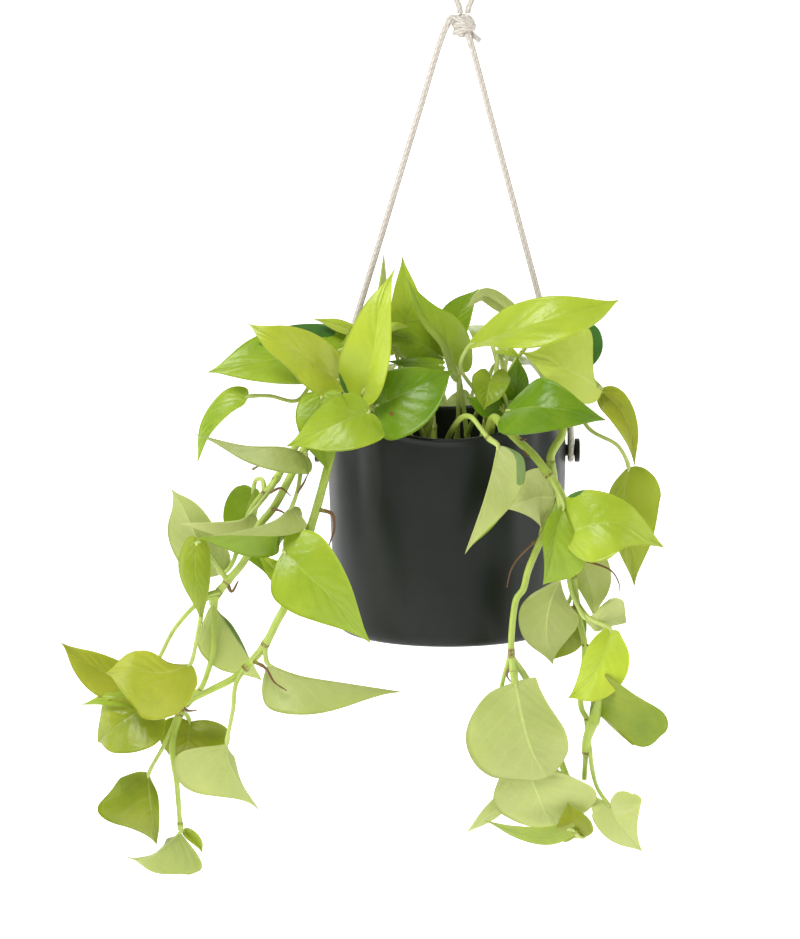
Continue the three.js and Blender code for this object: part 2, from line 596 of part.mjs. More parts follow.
        lobe: [0.47, 0], peak: [0.3, 0.4] }),
  ],
  stem_13: [
    stem([2.6, 2.0], [[36, -54, 98], [37, -57, 128], [39, -60, 152]]),
    leaf("right_17", [[39, -60, 150], [46, -72, 168]],
      [[43, -84, 178], [63, -106, 184], [88, -112, 182], [115, -103, 174]],
      { facing: [0, -0.75, 0.65], width: [25, 28], lobe: 0.24 }),
    leaf("right_19", [[39, -60, 150], [50, -52, 176]],
      [[47, -36, 178], [51, -42, 196], [52, -40, 213]],
      { facing: [0.1, -0.9, 0.4], width: [11, 11] }),
  ],
  stem_14: [
    stem([2.6, 2.0], [[-30, 20, 98], [-31, 22, 128], [-33, 25, 152]]),
    leaf("back_01", [[-33, 25, 150], [-45, 50, 186]],
      [[-54, 68, 192], [-62, 92, 186], [-68, 112, 166], [-72, 124, 138]],
      { facing: [-0.2, 0.8, 0.6], width: [25, 24] }),
    leaf("back_02", [[-33, 25, 150], [-34, 40, 196]],
      [[-34, 52, 208], [-34, 74, 216], [-38, 98, 212], [-44, 120, 196]],
      { facing: [-0.1, 0.5, 0.85], width: [22, 24] }),
  ],
  stem_15: [
    stem([2.6, 2.0], [[-8, 26, 98], [-9, 28, 128], [-10, 31, 152]]),
    leaf("back_03", [[-10, 31, 150], [-12, 50, 190]],
      [[-14, 62, 200], [-15, 84, 204], [-15, 106, 194], [-14, 122, 170]],
      { facing: [0.1, 0.7, 0.7], width: [25, 22] }),
  ],
  stem_16: [
    stem([2.6, 2.0], [[38, 14, 98], [40, 18, 128], [42, 24, 152]]),
    leaf("back_04", [[42, 24, 150], [38, 32, 200]],
      [[35, 40, 212], [34, 58, 220], [37, 82, 220], [42, 102, 208]],
      { facing: [0.1, 0.5, 0.85], width: [20, 22] }),
    leaf("back_05", [[42, 24, 150], [50, 42, 186]],
      [[56, 56, 196], [66, 74, 196], [78, 94, 184], [86, 108, 160]],
      { facing: [0.5, 0.6, 0.7], width: [24, 26] }),
    leaf("back_06", [[42, 24, 150], [46, 28, 205]],
      [[50, 34, 216], [62, 46, 224], [78, 62, 220], [90, 76, 206]],
      { facing: [0.3, 0.4, 0.85], width: [19, 21] }),
  ],
  stem_17: [
    stem([2.8, 2.2], [[-8, 56, 98], [-9, 58, 128], [-11, 62, 152]]),
    leaf("back_07", [[-11, 62, 150], [-14, 80, 174], [-17, 97, 176]],
      [[-20, 106, 168], [-24, 116, 148], [-26, 122, 120], [-24, 122, 86]],
      { facing: [-0.1, 0.97, 0.2], width: [27, 25] }),
    leaf("back_08", [[-11, 62, 150], [-24, 78, 176], [-42, 92, 182]],
      [[-52, 100, 176], [-60, 110, 152], [-62, 116, 122], [-56, 116, 92]],
      { facing: [-0.4, 0.9, 0.15], width: [20, 22] }),
  ],
  stem_18: [
    stem([2.8, 2.2], [[22, 52, 98], [26, 54, 128], [31, 57, 152]]),
    leaf("back_09", [[31, 57, 150], [35, 72, 188], [43, 92, 191]],
      [[46, 102, 170], [50, 114, 150], [52, 122, 122], [48, 124, 90]],
      { facing: [0.35, 0.9, 0.2], width: [25, 26] }),
    leaf("back_10", [[31, 57, 150], [27, 76, 172], [23, 94, 174]],
      [[20, 105, 162], [14, 114, 144], [10, 118, 116], [12, 116, 84]],
      { facing: [0.05, 0.97, 0.15], width: [17, 19] }),
  ],
  vine_left_side: [
    stem([2.8, 2.4], [[-67, -12, 98], [-68, -14, 128], [-70, -17, 158], [-74, -20, 180],
      [-83, -27, 194], [-95, -38, 189], [-104, -52, 165], [-117, -70, 143], [-128, -72, 125],
      [-134, -72, 117], [-145, -74, 104], [-154, -78, 81]]),
    leaf("left_12", [[-136, -73, 114], [-138, -66, 124], [-143, -60, 123]],
      [[-145, -58, 115], [-151, -54, 93], [-145, -56, 71], [-134, -60, 50]],
      { facing: [-0.2, -0.9, 0.3], width: [9, 17], lobe: 0.59 }),
    leaf("left_13", [[-154, -78, 81], [-159, -80, 66], [-163, -80, 59]],
      [[-169, -76, 55], [-185, -82, 81], [-195, -82, 104], [-205, -76, 119]],
      { facing: [0.2, 0.9, 0.3], width: [17, 25], lobe: 0.35 }),
    leaf("left_14", [[-127, -72, 126], [-130, -80, 121], [-138, -86, 111]],
      [[-146, -80, 101], [-155, -88, 97], [-176, -92, 96], [-199, -90, 95]],
      { facing: [0, 0.3, -0.95], width: [10, 13], fold: [60, 65] }),
  ],
  vine_left_outer: [
    stem([3.2, 2.6], [[-66, -28, 98], [-67, -30, 128], [-68, -33, 154], [-69, -36, 172],
      [-78, -44, 190], [-91, -57, 181], [-99, -70, 160], [-109, -84, 145], [-118, -88, 127], [-129, -90, 107],
      [-141, -92, 92], [-150, -94, 69], [-163, -94, 53], [-170, -92, 44]]),
    stem([2.3, 1.8], [[-169, -92, 45], [-173, -84, 33], [-174, -86, 1], [-178, -84, -16],
      [-184, -82, -31], [-195, -78, -45]]),
    leaf("left_11", [[-106, -80, 146]],
      [[-105, -100, 148], [-121, -112, 155], [-150, -110, 156], [-187, -98, 163]],
      { facing: [0, 0.3, -0.95], width: [20, 22], fold: [70, 40], peak: [0.3, 0.24], full: [1, 1.2] }),
    leaf("left_15", [[-109, -84, 145], [-109, -90, 134], [-111, -97, 121]],
      [[-116, -100, 108], [-129, -112, 100], [-155, -114, 93], [-187, -106, 87]],
      { facing: [0, 0.2, -0.98], width: [31, 19], fold: [80, 30], peak: [0.34, 0.16], full: [1, 1.8] }),
    leaf("left_19", [[-170, -90, 44], [-175, -80, 39]],
      [[-176, -72, 31], [-164, -78, 14], [-150, -80, -6], [-139, -76, -26]],
      { facing: [-0.3, 0.9, 0.2], width: [27, 6], fold: [0, 60], lobe: 0, peak: [0.42, 0.3] }),
    leaf("left_25", [[-170, -92, 42], [-184, -90, 36], [-202, -90, 17], [-216, -78, -10]],
      [[-230, -70, -31], [-251, -74, -23], [-271, -74, -11], [-289, -70, 2]],
      { facing: [0, -0.8, 0.6], width: [21, 14] }),
    leaf("left_26", [[-169, -94, 45], [-179, -100, 42], [-184, -108, 19]],
      [[-190, -112, -6], [-208, -122, -10], [-230, -122, -9], [-253, -108, -14]],
      { facing: [-0.1, -0.85, 0.5], width: [36, 15], fold: [-19, 20],
        curl: [-18, -10], lobe: [0.52, 0], peak: [0.49, 0.6], full: [1.3, 1] }),
    leaf("left_27", [[-188, -80, -38], [-203, -84, -38]],
      [[-225, -86, -39], [-250, -90, -37], [-273, -86, -42]],
      { facing: [0, -0.5, 0.85], width: [10, 8] }),
    leaf("left_28", [[-185, -82, -33], [-203, -86, -36]],
      [[-217, -90, -39], [-233, -98, -47], [-249, -98, -58], [-261, -84, -71]],
      { facing: [-0.1, -0.85, 0.5], width: [30, 20], lobe: 0.35, peak: [0.38, 0.6] }),
    leaf("left_29", [[-163, -94, 53], [-173, -98, 69], [-180, -102, 81]],
      [[-185, -104, 84], [-186, -110, 64], [-183, -110, 42], [-181, -104, 19]],
      { facing: [0, -1, 0.1], width: [12, 14], fold: [5, 5], curl: [-40, -60], full: 1.5 }),
  ],
  vine_left_inner: [
    stem([3.4, 2.7], [[-58, -44, 98], [-59, -45, 128], [-59, -46, 152], [-61, -50, 172],
      [-70, -59, 185], [-80, -72, 177], [-84, -84, 157], [-89, -92, 137], [-97, -98, 108], [-109, -106, 71],
      [-119, -104, 39], [-126, -104, 25], [-135, -102, 7], [-146, -98, -8]]),
    stem([2.6, 2.2], [[-145, -98, -7], [-158, -98, -19], [-175, -98, -28], [-190, -96, -36],
      [-200, -92, -44]]),
    stem([2.4, 1.6], [[-198, -92, -43], [-205, -94, -71], [-202, -90, -102], [-200, -84, -138]]),
    leaf("left_16", [[-109, -106, 71], [-115, -111, 76]],
      [[-121, -116, 79], [-105, -126, 65], [-83, -124, 43], [-57, -110, 9]],
      { facing: [-0.1, -0.95, 0.3], width: [27, 30], fold: [8, 8],
        curl: [-15, -15], lobe: [0.94, 0], peak: [0.27, 0.36] }),
    leaf("left_17", [[-101, -104, 93], [-107, -98, 69], [-106, -102, 55]],
      [[-109, -101, 49], [-127, -98, 61], [-141, -97, 75]],
      { facing: [0, -0.9, 0.3], width: [9, 9] }),
    leaf("left_18", [[-135, -102, 7], [-135, -104, -1]],
      [[-133, -104, -8], [-109, -112, -15], [-76, -110, -21], [-34, -98, -30]],
      { facing: [0, 0.3, -0.95], width: [31, 16], fold: [50, 80], lobe: 0.24 }),
    leaf("left_20", [[-150, -98, -11], [-157, -104, -23], [-159, -108, -41]],
      [[-164, -108, -67], [-162, -114, -79], [-154, -114, -95], [-140, -104, -119]],
      { facing: [-0.2, 0.95, 0.1], width: [41, 8], fold: [0, 60],
        lobe: 0, peak: [0.3, 0.3], full: [1.5, 1.2] }),
    leaf("left_21", [[-199, -92, -47], [-195, -83, -50]],
      [[-193, -74, -58], [-194, -80, -70], [-196, -78, -82], [-199, -70, -95]],
      { facing: [0.1, -0.95, 0.2], width: [31, 22] }),
    leaf("left_22", [[-199, -92, -44], [-210, -94, -69]],
      [[-223, -92, -94], [-221, -98, -112], [-219, -99, -131], [-217, -93, -148]],
      { facing: [-0.2, -0.9, 0.3], width: [6, 43], fold: [0, -6], curl: [-10, -4],
        lobe: [0, 0.78], peak: [0.4, 0.44], full: [1, 1.8] }),
    leaf("left_23", [[-200, -85, -133]],
      [[-200, -84, -140], [-211, -90, -149], [-224, -88, -159], [-241, -78, -161]],
      { facing: [0.1, 0.9, -0.3], width: [8, 31], fold: [70, 5],
        lobe: 0, peak: [0.3, 0.22], full: [1, 1.5] }),
    leaf("left_24", [[-200, -85, -133], [-200, -80, -139]],
      [[-198, -78, -141], [-189, -76, -150], [-184, -72, -159]],
      { facing: [0.5, -0.8, 0.3], width: [6, 6], fold: [50, 50] }),
  ],
  vine_right_front: [
    stem([3.4, 1.8], [[26, -60, 98], [27, -63, 128], [29, -68, 152], [33, -79, 172], [41, -94, 167],
      [50, -98, 159], [63, -101, 147], [73, -104, 134], [82, -107, 121], [87, -106, 106],
      [88, -100, 84], [92, -98, 57], [96, -100, 28], [101, -100, 2], [98, -102, -37], [103, -104, -51],
      [102, -104, -73], [101, -104, -95]]),
    stem([1.6, 1.2], [[102, -104, -60], [105, -105, -72], [106, -108, -84], [110, -110, -99],
      [118, -112, -111]]),
    stem([2.6, 4.0], [[102, -105, -75], [102, -108, -66], [104, -112, -57], [107, -113, -49]]),
    stem([4.2, 1.2], [[107, -113, -50], [109, -114, -42], [111, -118, -31], [114, -124, -16]]),
    leaf("right_13", [[79, -104, 126], [81, -114, 113]],
      [[86, -120, 92], [105, -130, 101], [128, -128, 101], [158, -112, 81]],
      { facing: [0.1, -0.85, 0.5], width: [27, 29], fold: [10, 10],
        curl: [-10, -20], lobe: [0.94, 0.35], peak: [0.28, 0.36] }),
    leaf("right_14", [[73, -104, 134], [78, -110, 125]],
      [[84, -116, 112], [78, -122, 92], [75, -122, 74], [69, -116, 54]],
      { facing: [-0.2, -0.95, 0.15], width: [26, 10], fold: [5, 30], lobe: 0, peak: [0.55, 0.3] }),
    leaf("right_34", [[88, -101, 92], [93, -96, 80]],
      [[97, -92, 71], [105, -96, 50], [108, -92, 25]],
      { facing: [0.1, 0.95, 0.2], width: [12, 18] }),
    leaf("right_35", [[88, -101, 92], [83, -106, 74]],
      [[82, -104, 57], [74, -112, 38], [72, -112, 16], [77, -104, -8]],
      { facing: [0, 0.95, 0.1], width: [21, 24], lobe: 0, peak: 0.5, full: 1.1 }),
    leaf("right_35_b", [[92, -98, 57], [91, -94, 42]],
      [[87, -90, 32], [83, -94, 11], [77, -88, -8]],
      { facing: [0, -0.95, 0.1], width: [18, 17], peak: 0.4 }),
    leaf("right_33", [[88, -99, 69], [90, -106, 48]],
      [[101, -110, 27], [113, -114, 26], [131, -106, 24]],
      { facing: [0, 0.9, 0.3], width: [9, 20], lobe: 0, peak: [0.3, 0.7], full: 0.8 }),
    leaf("right_32", [[96, -100, 35], [104, -112, 28]],
      [[119, -118, 21], [114, -124, 3], [104, -122, -16], [88, -112, -32]],
      { facing: [0, -0.9, 0.4], width: [21, 14], lobe: 0.3, peak: [0.48, 0.4] }),
    leaf("right_31", [[102, -104, -73], [104, -109, -57], [107, -112, -44]],
      [[108, -112, -40], [110.3, -117.3, -30], [112.7, -122.7, -20], [115, -128, -10]],
      { facing: [0, -0.9, 0.6], width: [5, 57], fold: [0, 23],
        curl: [-5, -40], lobe: [3, 4.4], peak: [0.4, 0.42], full: [1, 0.42] }),
    leaf("right_30", [[103, -104, -51], [106, -108, -82], [110, -110, -99]],
      [[119, -112, -113], [125, -120, -122], [133, -120, -133], [144, -112, -148]],
      { facing: [0.2, -0.9, 0.3], width: [24, 17], lobe: [1.6, 2.6], peak: [0.13, 0.28] }),
  ],
  vine_front: [
    stem([2.4, 1.6], [[-2, -58, 98], [-2, -61, 128], [-1, -66, 152], [8, -80, 171], [16, -92, 175],
      [23, -100, 168], [29, -106, 161], [36, -108, 156]]),
    leaf("right_16", [[29, -106, 161]],
      [[36, -110, 156], [31, -118, 135], [24, -122, 112], [12, -112, 76]],
      { facing: [0.9, 0.4, 0], width: [30, 27], fold: [75, 45], lobe: 0.24, peak: [0.55, 0.3] }),
  ],
  vine_right_rear: [
    stem([3.6, 2.0], [[62, -38, 98], [63, -39, 128], [63, -40, 154], [64, -43, 172],
      [74, -53, 189], [84, -68, 180], [84, -83, 162], [78, -90, 152], [75, -92, 144], [77, -92, 129],
      [80, -92, 114], [76, -98, 100],
      [69, -104, 88], [59, -108, 65], [55, -110, 50], [49, -112, 40], [46, -116, 10], [48, -118, -20]]),
    leaf("right_15", [[76, -94, 142], [79, -90, 128]],
      [[78, -96, 116], [63, -101, 116], [42, -92, 107]],
      { facing: [0.1, 0.95, 0], width: [22, 40], fold: [5, 8],
        curl: [-10, 0], lobe: 0, peak: [0.4, 0.2] }),
    leaf("right_25", [[49, -116, -10]],
      [[49, -118, -18], [55, -128, -47], [62, -130, -69], [73, -120, -90]],
      { facing: [0.1, 0.95, 0.1], width: [46, 28], fold: [7, 5], curl: [-8, 4],
        lobe: [0, 0.27], peak: [0.44, 0.6], full: [0.45, 0.45] }),
    leaf("right_26", [[46, -115, 5], [51, -104, -27], [50, -103, -58]],
      [[53, -108, -73], [61, -113, -92], [69, -113, -111], [77, -106, -131]],
      { facing: [0.1, 0.95, 0.1], width: [34, 41], fold: [4, -2], curl: [6, 2],
        lobe: 0.2, peak: [0.54, 0.75], full: [0.6, 0.62] }),
    leaf("right_27", [[46, -115, 1], [60, -98, -22], [78, -86, -70], [93, -88, -116], [97, -102, -134]],
      [[94, -118, -135], [92, -122, -123], [88, -118, -109]],
      { facing: [0, -0.9, 0.4], width: [15, 14] }),
    leaf("right_28",
      [[46, -115, 1], [59, -99, -24], [80, -85, -72], [97, -89, -118], [101, -108, -136], [97, -122, -134]],
      [[90, -124, -128], [72, -128, -132], [49, -126, -129], [26, -118, -122]],
      { facing: [0, -0.9, 0.4], width: [7, 7] }),
    leaf("right_29", [[46, -115, 5], [38, -100, -36], [41, -96, -82]],
      [[44, -98, -110], [30, -100, -123], [13, -96, -138]],
      { facing: [0, 0.9, 0.3], width: [7, 7] }),
  ],
  vine_back: [
    stem([3.2, 2.2], [[48, 42, 98], [49, 45, 128], [51, 54, 160], [50, 74, 180], [42, 92, 172],
      [34, 101, 146], [26, 104, 106], [16, 108, 66], [10, 108, 24]]),
    leaf("back_11", [[22, 106, 86], [28, 110, 84]],
      [[35, 114, 76], [43, 118, 56], [45, 118, 34], [39, 114, 10]],
      { facing: [0.3, 0.95, 0.1], width: [20, 22] }),
    leaf("back_12", [[12, 108, 40], [0, 112, 44]],
      [[-8, 114, 40], [-16, 116, 25], [-18, 113, 9], [-15, 109, -7]],
      { facing: [-0.25, 0.96, 0.1], width: [17, 19] }),
    leaf("back_13", [[10, 108, 26]],
      [[6, 108, 20], [2, 110, 10], [1, 109, -1], [4, 106, -10]],
      { facing: [0.1, 0.98, 0.1], width: [12, 11] }),
  ],
};

for (const [name, parts] of Object.entries(PLANT)) {
  piece(name, toGeometry(grownSolid(parts)), PLANT_FINISH);
}

// The soil, with a plain hole round the foot of every stem.
function soilSolid() {
  const bottom = POT_FLOOR + CLEARANCE;
  const profile = [[0, bottom], [innerRadius(POT_FLOOR) - FLOOR_CORNER, bottom]];
  for (const height of [...INSIDE_LEVELS].reverse()) {
    profile.push([innerRadius(height) - CLEARANCE, height + (height < SOIL_LEVEL ? CLEARANCE : 0)]);
  }
  profile.push([45, SOIL_LEVEL + SOIL_MOUND * 0.7]);
  profile.push([0, SOIL_LEVEL + SOIL_MOUND]);
  const outline = profile.map(([radius, height]) => new THREE.Vector2(radius, height));
  const body = new THREE.LatheGeometry(outline, POT_SIDES);
  body.rotateX(Math.PI / 2);
  const holes = Object.values(PLANT).map(([{ radii, points }]) => {
    const curve = smoothCurve(points);
    const line = [0, 0.5, 1, 1.2].map((span) => curve.getPoint(span / (points.length - 1)).toArray());
    line[0][2] = HOLE_BOTTOM;
    const radius = (radii[0] + CLEARANCE) / Math.cos(Math.PI / STEM_SIDES);
    return toSolid(stemGeometry(smoothCurve(line), [radius, radius], STEM_SIDES, HOLE_STEP));
  });
  return holes.reduce((rest, hole) => rest.subtract(hole), toSolid(body));
}
piece("soil", toGeometry(soilSolid()), SOIL_FINISH);

// The part hangs from the top of its eye.
group.position.set(-KNOT[0], 0, -EYE_TOP);

export default group;
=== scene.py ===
"""Potted golden pothos in a hanging pot: the visible surfaces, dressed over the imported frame.

Places are written in millimetres with the pot standing at z = 0 on its own axis, +Y away from the front, as
in the part's source. They are moved to the part's frame, whose origin is the top of the hanging eye, when a
mesh is made. Every surface is worked out as whole arrays: a shape is a function of two parameters on a grid.
"""

from __future__ import annotations

import logging
import math
from collections.abc import Callable
from dataclasses import dataclass, field
from enum import Enum

import bpy
import numpy as np
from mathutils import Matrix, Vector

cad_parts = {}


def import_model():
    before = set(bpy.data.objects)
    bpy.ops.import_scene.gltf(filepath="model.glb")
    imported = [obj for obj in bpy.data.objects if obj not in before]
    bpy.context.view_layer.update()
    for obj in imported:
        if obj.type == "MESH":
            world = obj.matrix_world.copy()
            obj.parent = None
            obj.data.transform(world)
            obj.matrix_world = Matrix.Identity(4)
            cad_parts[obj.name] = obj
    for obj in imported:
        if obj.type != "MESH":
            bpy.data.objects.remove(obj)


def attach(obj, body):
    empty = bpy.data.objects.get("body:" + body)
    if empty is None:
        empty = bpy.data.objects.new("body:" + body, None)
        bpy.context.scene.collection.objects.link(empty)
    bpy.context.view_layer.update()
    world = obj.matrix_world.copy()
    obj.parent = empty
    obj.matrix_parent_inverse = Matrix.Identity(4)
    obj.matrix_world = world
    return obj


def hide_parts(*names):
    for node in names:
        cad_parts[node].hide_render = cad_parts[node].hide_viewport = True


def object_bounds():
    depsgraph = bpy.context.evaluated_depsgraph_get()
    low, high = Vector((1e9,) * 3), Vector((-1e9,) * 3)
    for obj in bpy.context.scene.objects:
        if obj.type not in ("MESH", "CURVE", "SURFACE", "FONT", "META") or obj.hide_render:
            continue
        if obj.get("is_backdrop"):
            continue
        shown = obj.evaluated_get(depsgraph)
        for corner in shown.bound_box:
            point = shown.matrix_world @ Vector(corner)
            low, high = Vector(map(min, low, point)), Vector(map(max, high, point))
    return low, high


log = logging.getLogger("hanging_pothos")

Array = np.ndarray
Point = tuple[float, float, float]
Pair = tuple[float, float]
Colour = tuple[float, float, float, float]

MILLIMETRE = 0.001
HANGING_POINT = np.array([12.0, 0.0, 505.0])
BODY = "root"


# Small helpers on arrays


def in_frame(points: Array) -> Array:
    """Places in metres from the hanging eye: the place in millimetres less the hanging point, over 1000."""
    return (np.asarray(points, float) - HANGING_POINT) * MILLIMETRE


def unit(vectors: Array) -> Array:
    """Each vector over its own length."""
    return vectors / np.maximum(np.linalg.norm(vectors, axis=-1, keepdims=True), 1e-12)


def smooth(low: float, high: float, value: Array) -> Array:
    """A soft step: t squared times (3 - 2 t), where t runs from 0 at low to 1 at high."""
    t = np.clip((np.asarray(value, float) - low) / (high - low), 0, 1)
    return t * t * (3 - 2 * t)


def bell(value: Array, middle: float, width: float) -> Array:
    """A bump of height 1: e to the minus square of the distance from the middle in widths."""
    return np.exp(-(((value - middle) / width) ** 2))


def both(value: float | Pair) -> Pair:
    """The same value for the left and the right half, unless there are two already."""
    return value if isinstance(value, tuple) else (value, value)


def unrest(points: Array, wavelength: float, seed: int, waves: int = 7) -> Array:
    """Smooth irregular relief between about -1 and 1.

    Formula: the mean of several sines, each of the place along its own random direction over a wavelength
    between 0.6 and 1.6 of the given one, with its own phase.

    Args:
        points: places, with x, y and z on the last axis.
        wavelength: the usual length of a wave, in the places' unit.
        seed: the same seed gives the same relief.
        waves: how many sines are summed.

    Returns:
        One value for each place.
    """
    rng = np.random.default_rng(seed)
    direction = unit(rng.normal(size=(waves, 3)))
    length = wavelength * rng.uniform(0.6, 1.6, waves)
    phase = rng.uniform(0, 2 * np.pi, waves)
    waving = np.sin(points @ (direction / length[:, None]).T * 2 * np.pi + phase)
    return waving.sum(-1) / math.sqrt(waves) / 1.2


class Knots(Enum):
    """How a curve's parameter runs between its points."""

    UNIFORM = 0.0
    CENTRIPETAL = 0.5


def curve_through(points: list[Point] | Array, shares: Array, knots: Knots = Knots.UNIFORM) -> Array:
    """Places on the Catmull-Rom curve through some points.

    Formula: between two points the curve is the cubic that leaves and reaches them with the slope of the
    points around them, where a span counts as its length to the power of the knots' value. Past both ends the
    last span is repeated.

    Args:
        points: the points that the curve passes through.
        shares: places on it from 0 to 1, each span between two points taking the same share.
        knots: how a span's length counts.

    Returns:
        One place for each share.
    """
    p = np.asarray(points, float)
    last = len(p) - 1
    p = np.vstack([2 * p[0] - p[1], p, 2 * p[-1] - p[-2]])
    gaps = np.linalg.norm(np.diff(p, axis=0), axis=1) ** knots.value
    x = np.clip(np.asarray(shares, float) * last, 0, last - 1e-9)
    i = x.astype(int)
    f = (x - i)[..., None]
    before, here, after = (gaps[i + k][..., None] for k in range(3))
    a, b, c, d = (p[i + k] for k in range(4))
    leave = here * ((b - a) / before - (c - a) / (before + here) + (c - b) / here)
    reach = here * ((c - b) / here - (d - b) / (here + after) + (d - c) / after)
    return (
        b * (2 * f**3 - 3 * f**2 + 1)
        + leave * (f**3 - 2 * f**2 + f)
        + c * (3 * f**2 - 2 * f**3)
        + reach * (f**3 - f**2)
    )


def even_line(points: list[Point] | Array, spacing: float, knots: Knots) -> Array:
    """Evenly spaced places along the curve through some points, about spacing millimetres apart."""
    dense = curve_through(points, np.linspace(0, 1, 60 * (len(points) - 1) + 1), knots)
    run = np.concatenate([[0], np.cumsum(np.linalg.norm(np.diff(dense, axis=0), axis=1))])
    steps = max(3, round(run[-1] / spacing))
    at = np.linspace(0, run[-1], steps + 1)
    return np.stack([np.interp(at, run, dense[:, axis]) for axis in range(3)], axis=-1)


def line_length(line: Array) -> float:
    """The sum of the straight runs of a line."""
    return float(np.linalg.norm(np.diff(line, axis=0), axis=1).sum())


# Surfaces


@dataclass
class Surface:
    """Closed shells of triangles in millimetres.

    Attributes:
        points: one place for each vertex.
        triangles: three vertex numbers for each triangle, counter-clockwise from outside.
        uv: two pattern coordinates for each corner of each triangle.
        tint: four values for each vertex that its finish reads.
        finish: the number of each triangle's finish on its piece.
    """

    points: Array
    triangles: Array
    uv: Array
    tint: Array
    finish: Array

    @classmethod
    def of(cls, points: Array, cells: list[tuple[Array, Array]], tint: Array, finish: int = 0) -> Surface:
        """A surface from its vertices and its patches of triangles.

        Args:
            points: one place for each vertex.
            cells: for each patch its triangles and the pattern coordinates of their corners.
            tint: the tint of each vertex, or one for all.
            finish: the number of its finish.

        Returns:
            The surface.
        """
        triangles = np.concatenate([faces for faces, _ in cells])
        uv = np.concatenate([corners for _, corners in cells])
        tints = np.broadcast_to(tint, (len(points), 4))
        return cls(points, triangles, uv, tints, np.full(len(triangles), finish))

    @classmethod
    def joined(cls, parts: list[Surface]) -> Surface:
        """Several surfaces as one, each vertex number raised by the vertices before it."""
        starts = np.cumsum([0] + [len(part.points) for part in parts])
        return cls(
            np.concatenate([part.points for part in parts]),
            np.concatenate([part.triangles + start for part, start in zip(parts, starts)]),
            np.concatenate([part.uv for part in parts]),
            np.concatenate([part.tint for part in parts]),
            np.concatenate([part.finish for part in parts]),
        )


def grid_cells(index: Array, uv: Array, turned: bool = False) -> tuple[Array, Array]:
    """Two triangles for each cell of a grid.

    Formula: a cell has the corners a, b, c, d at (row, column), (row + 1, column), (row + 1, column + 1) and
    (row, column + 1), and its triangles are a, b, c and a, c, d. Triangles that shrink to a line are dropped.

    Args:
        index: vertex numbers on the grid.
        uv: pattern coordinates on the grid.
        turned: whether the triangles look the other way.

    Returns:
        The triangles and the pattern coordinates of their corners.
    """
    corners = [np.s_[:-1, :-1], np.s_[1:, :-1], np.s_[1:, 1:], np.s_[:-1, 1:]]
    a, b, c, d = (index[cut].ravel() for cut in corners)
    ua, ub, uc, ud = (uv[cut].reshape(-1, 2) for cut in corners)
    faces = np.concatenate([np.stack([a, b, c], 1), np.stack([a, c, d], 1)])
    places = np.concatenate([np.stack([ua, ub, uc], 1), np.stack([ua, uc, ud], 1)])
    keep = (faces[:, 0] != faces[:, 1]) & (faces[:, 1] != faces[:, 2]) & (faces[:, 2] != faces[:, 0])
    faces, places = faces[keep], places[keep]
    return (faces[:, ::-1], places[:, ::-1]) if turned else (faces, places)


def fan_cells(pole: int, ring: Array, turned: bool = False) -> tuple[Array, Array]:
    """Triangles from one vertex to each pair of neighbours of a closed ring."""
    faces = np.stack([np.full(len(ring), pole), np.roll(ring, -1), ring], 1)
    return (faces[:, ::-1] if turned else faces), np.zeros((len(ring), 3, 2))


def closed_rings(rings: Array, tint: Array, first: Array, last: Array, finish: int = 0) -> Surface:
    """A closed surface over rings of points, with a pole at each end.

    Args:
        rings: places on a grid of rings and sides, counter-clockwise about the way that the rings run.
        tint: the tint of each of them, or one for all.
        first: the pole before the first ring.
        last: the pole after the last ring.
        finish: the number of its finish.

    Returns:
        The surface. Its pattern coordinates are the share of the turn and the share of the rings.
    """
    count, sides = rings.shape[:2]
    points = np.concatenate([rings.reshape(-1, 3), [first, last]])
    index = np.arange(count * sides).reshape(count, sides)
    closed = np.concatenate([index, index[:, :1]], axis=1)
    around, along = np.meshgrid(np.linspace(0, 1, sides + 1), np.linspace(0, 1, count))
    wall = grid_cells(closed.T, np.stack([around, along], -1).transpose(1, 0, 2))
    caps = [fan_cells(count * sides, index[0]), fan_cells(count * sides + 1, index[-1], turned=True)]
    values = np.broadcast_to(tint, (count, sides, 4)).reshape(-1, 4)
    values = np.concatenate([values, [values[0], values[-1]]])
    return Surface.of(points, [wall, *caps], values, finish)


def ball_rings(heights: Array, sides: int) -> Array:
    """Rings of a ball of radius 1: cosine of the height angle times cosine and sine round it, and its sine.

    Args:
        heights: the angle of each ring above the ball's middle.
        sides: how many places go round each ring.

    Returns:
        The places on a grid of rings and sides.
    """
    tall, around = heights[:, None], np.linspace(0, 2 * np.pi, sides, endpoint=False)[None]
    level = 0 * tall * around
    return np.stack([np.cos(tall) * np.cos(around), np.cos(tall) * np.sin(around), np.sin(tall) + level], -1)


def frames_along(line: Array) -> tuple[Array, Array]:
    """Two directions square to a line at each of its places, and to each other.

    Formula: the reference is the direction that the line runs along least, the weakest eigenvector of the
    sum of its tangents' outer products. The first direction is the reference less its share along the
    tangent, and the second is the tangent crossed with the first.

    Args:
        line: places along a line.

    Returns:
        Both directions at each place.
    """
    tangent = unit(np.gradient(line, axis=0))
    _, vectors = np.linalg.eigh(tangent.T @ tangent)
    reference = vectors[:, 0]
    across = unit(reference - (tangent @ reference)[:, None] * tangent)
    return across, np.cross(tangent, across)


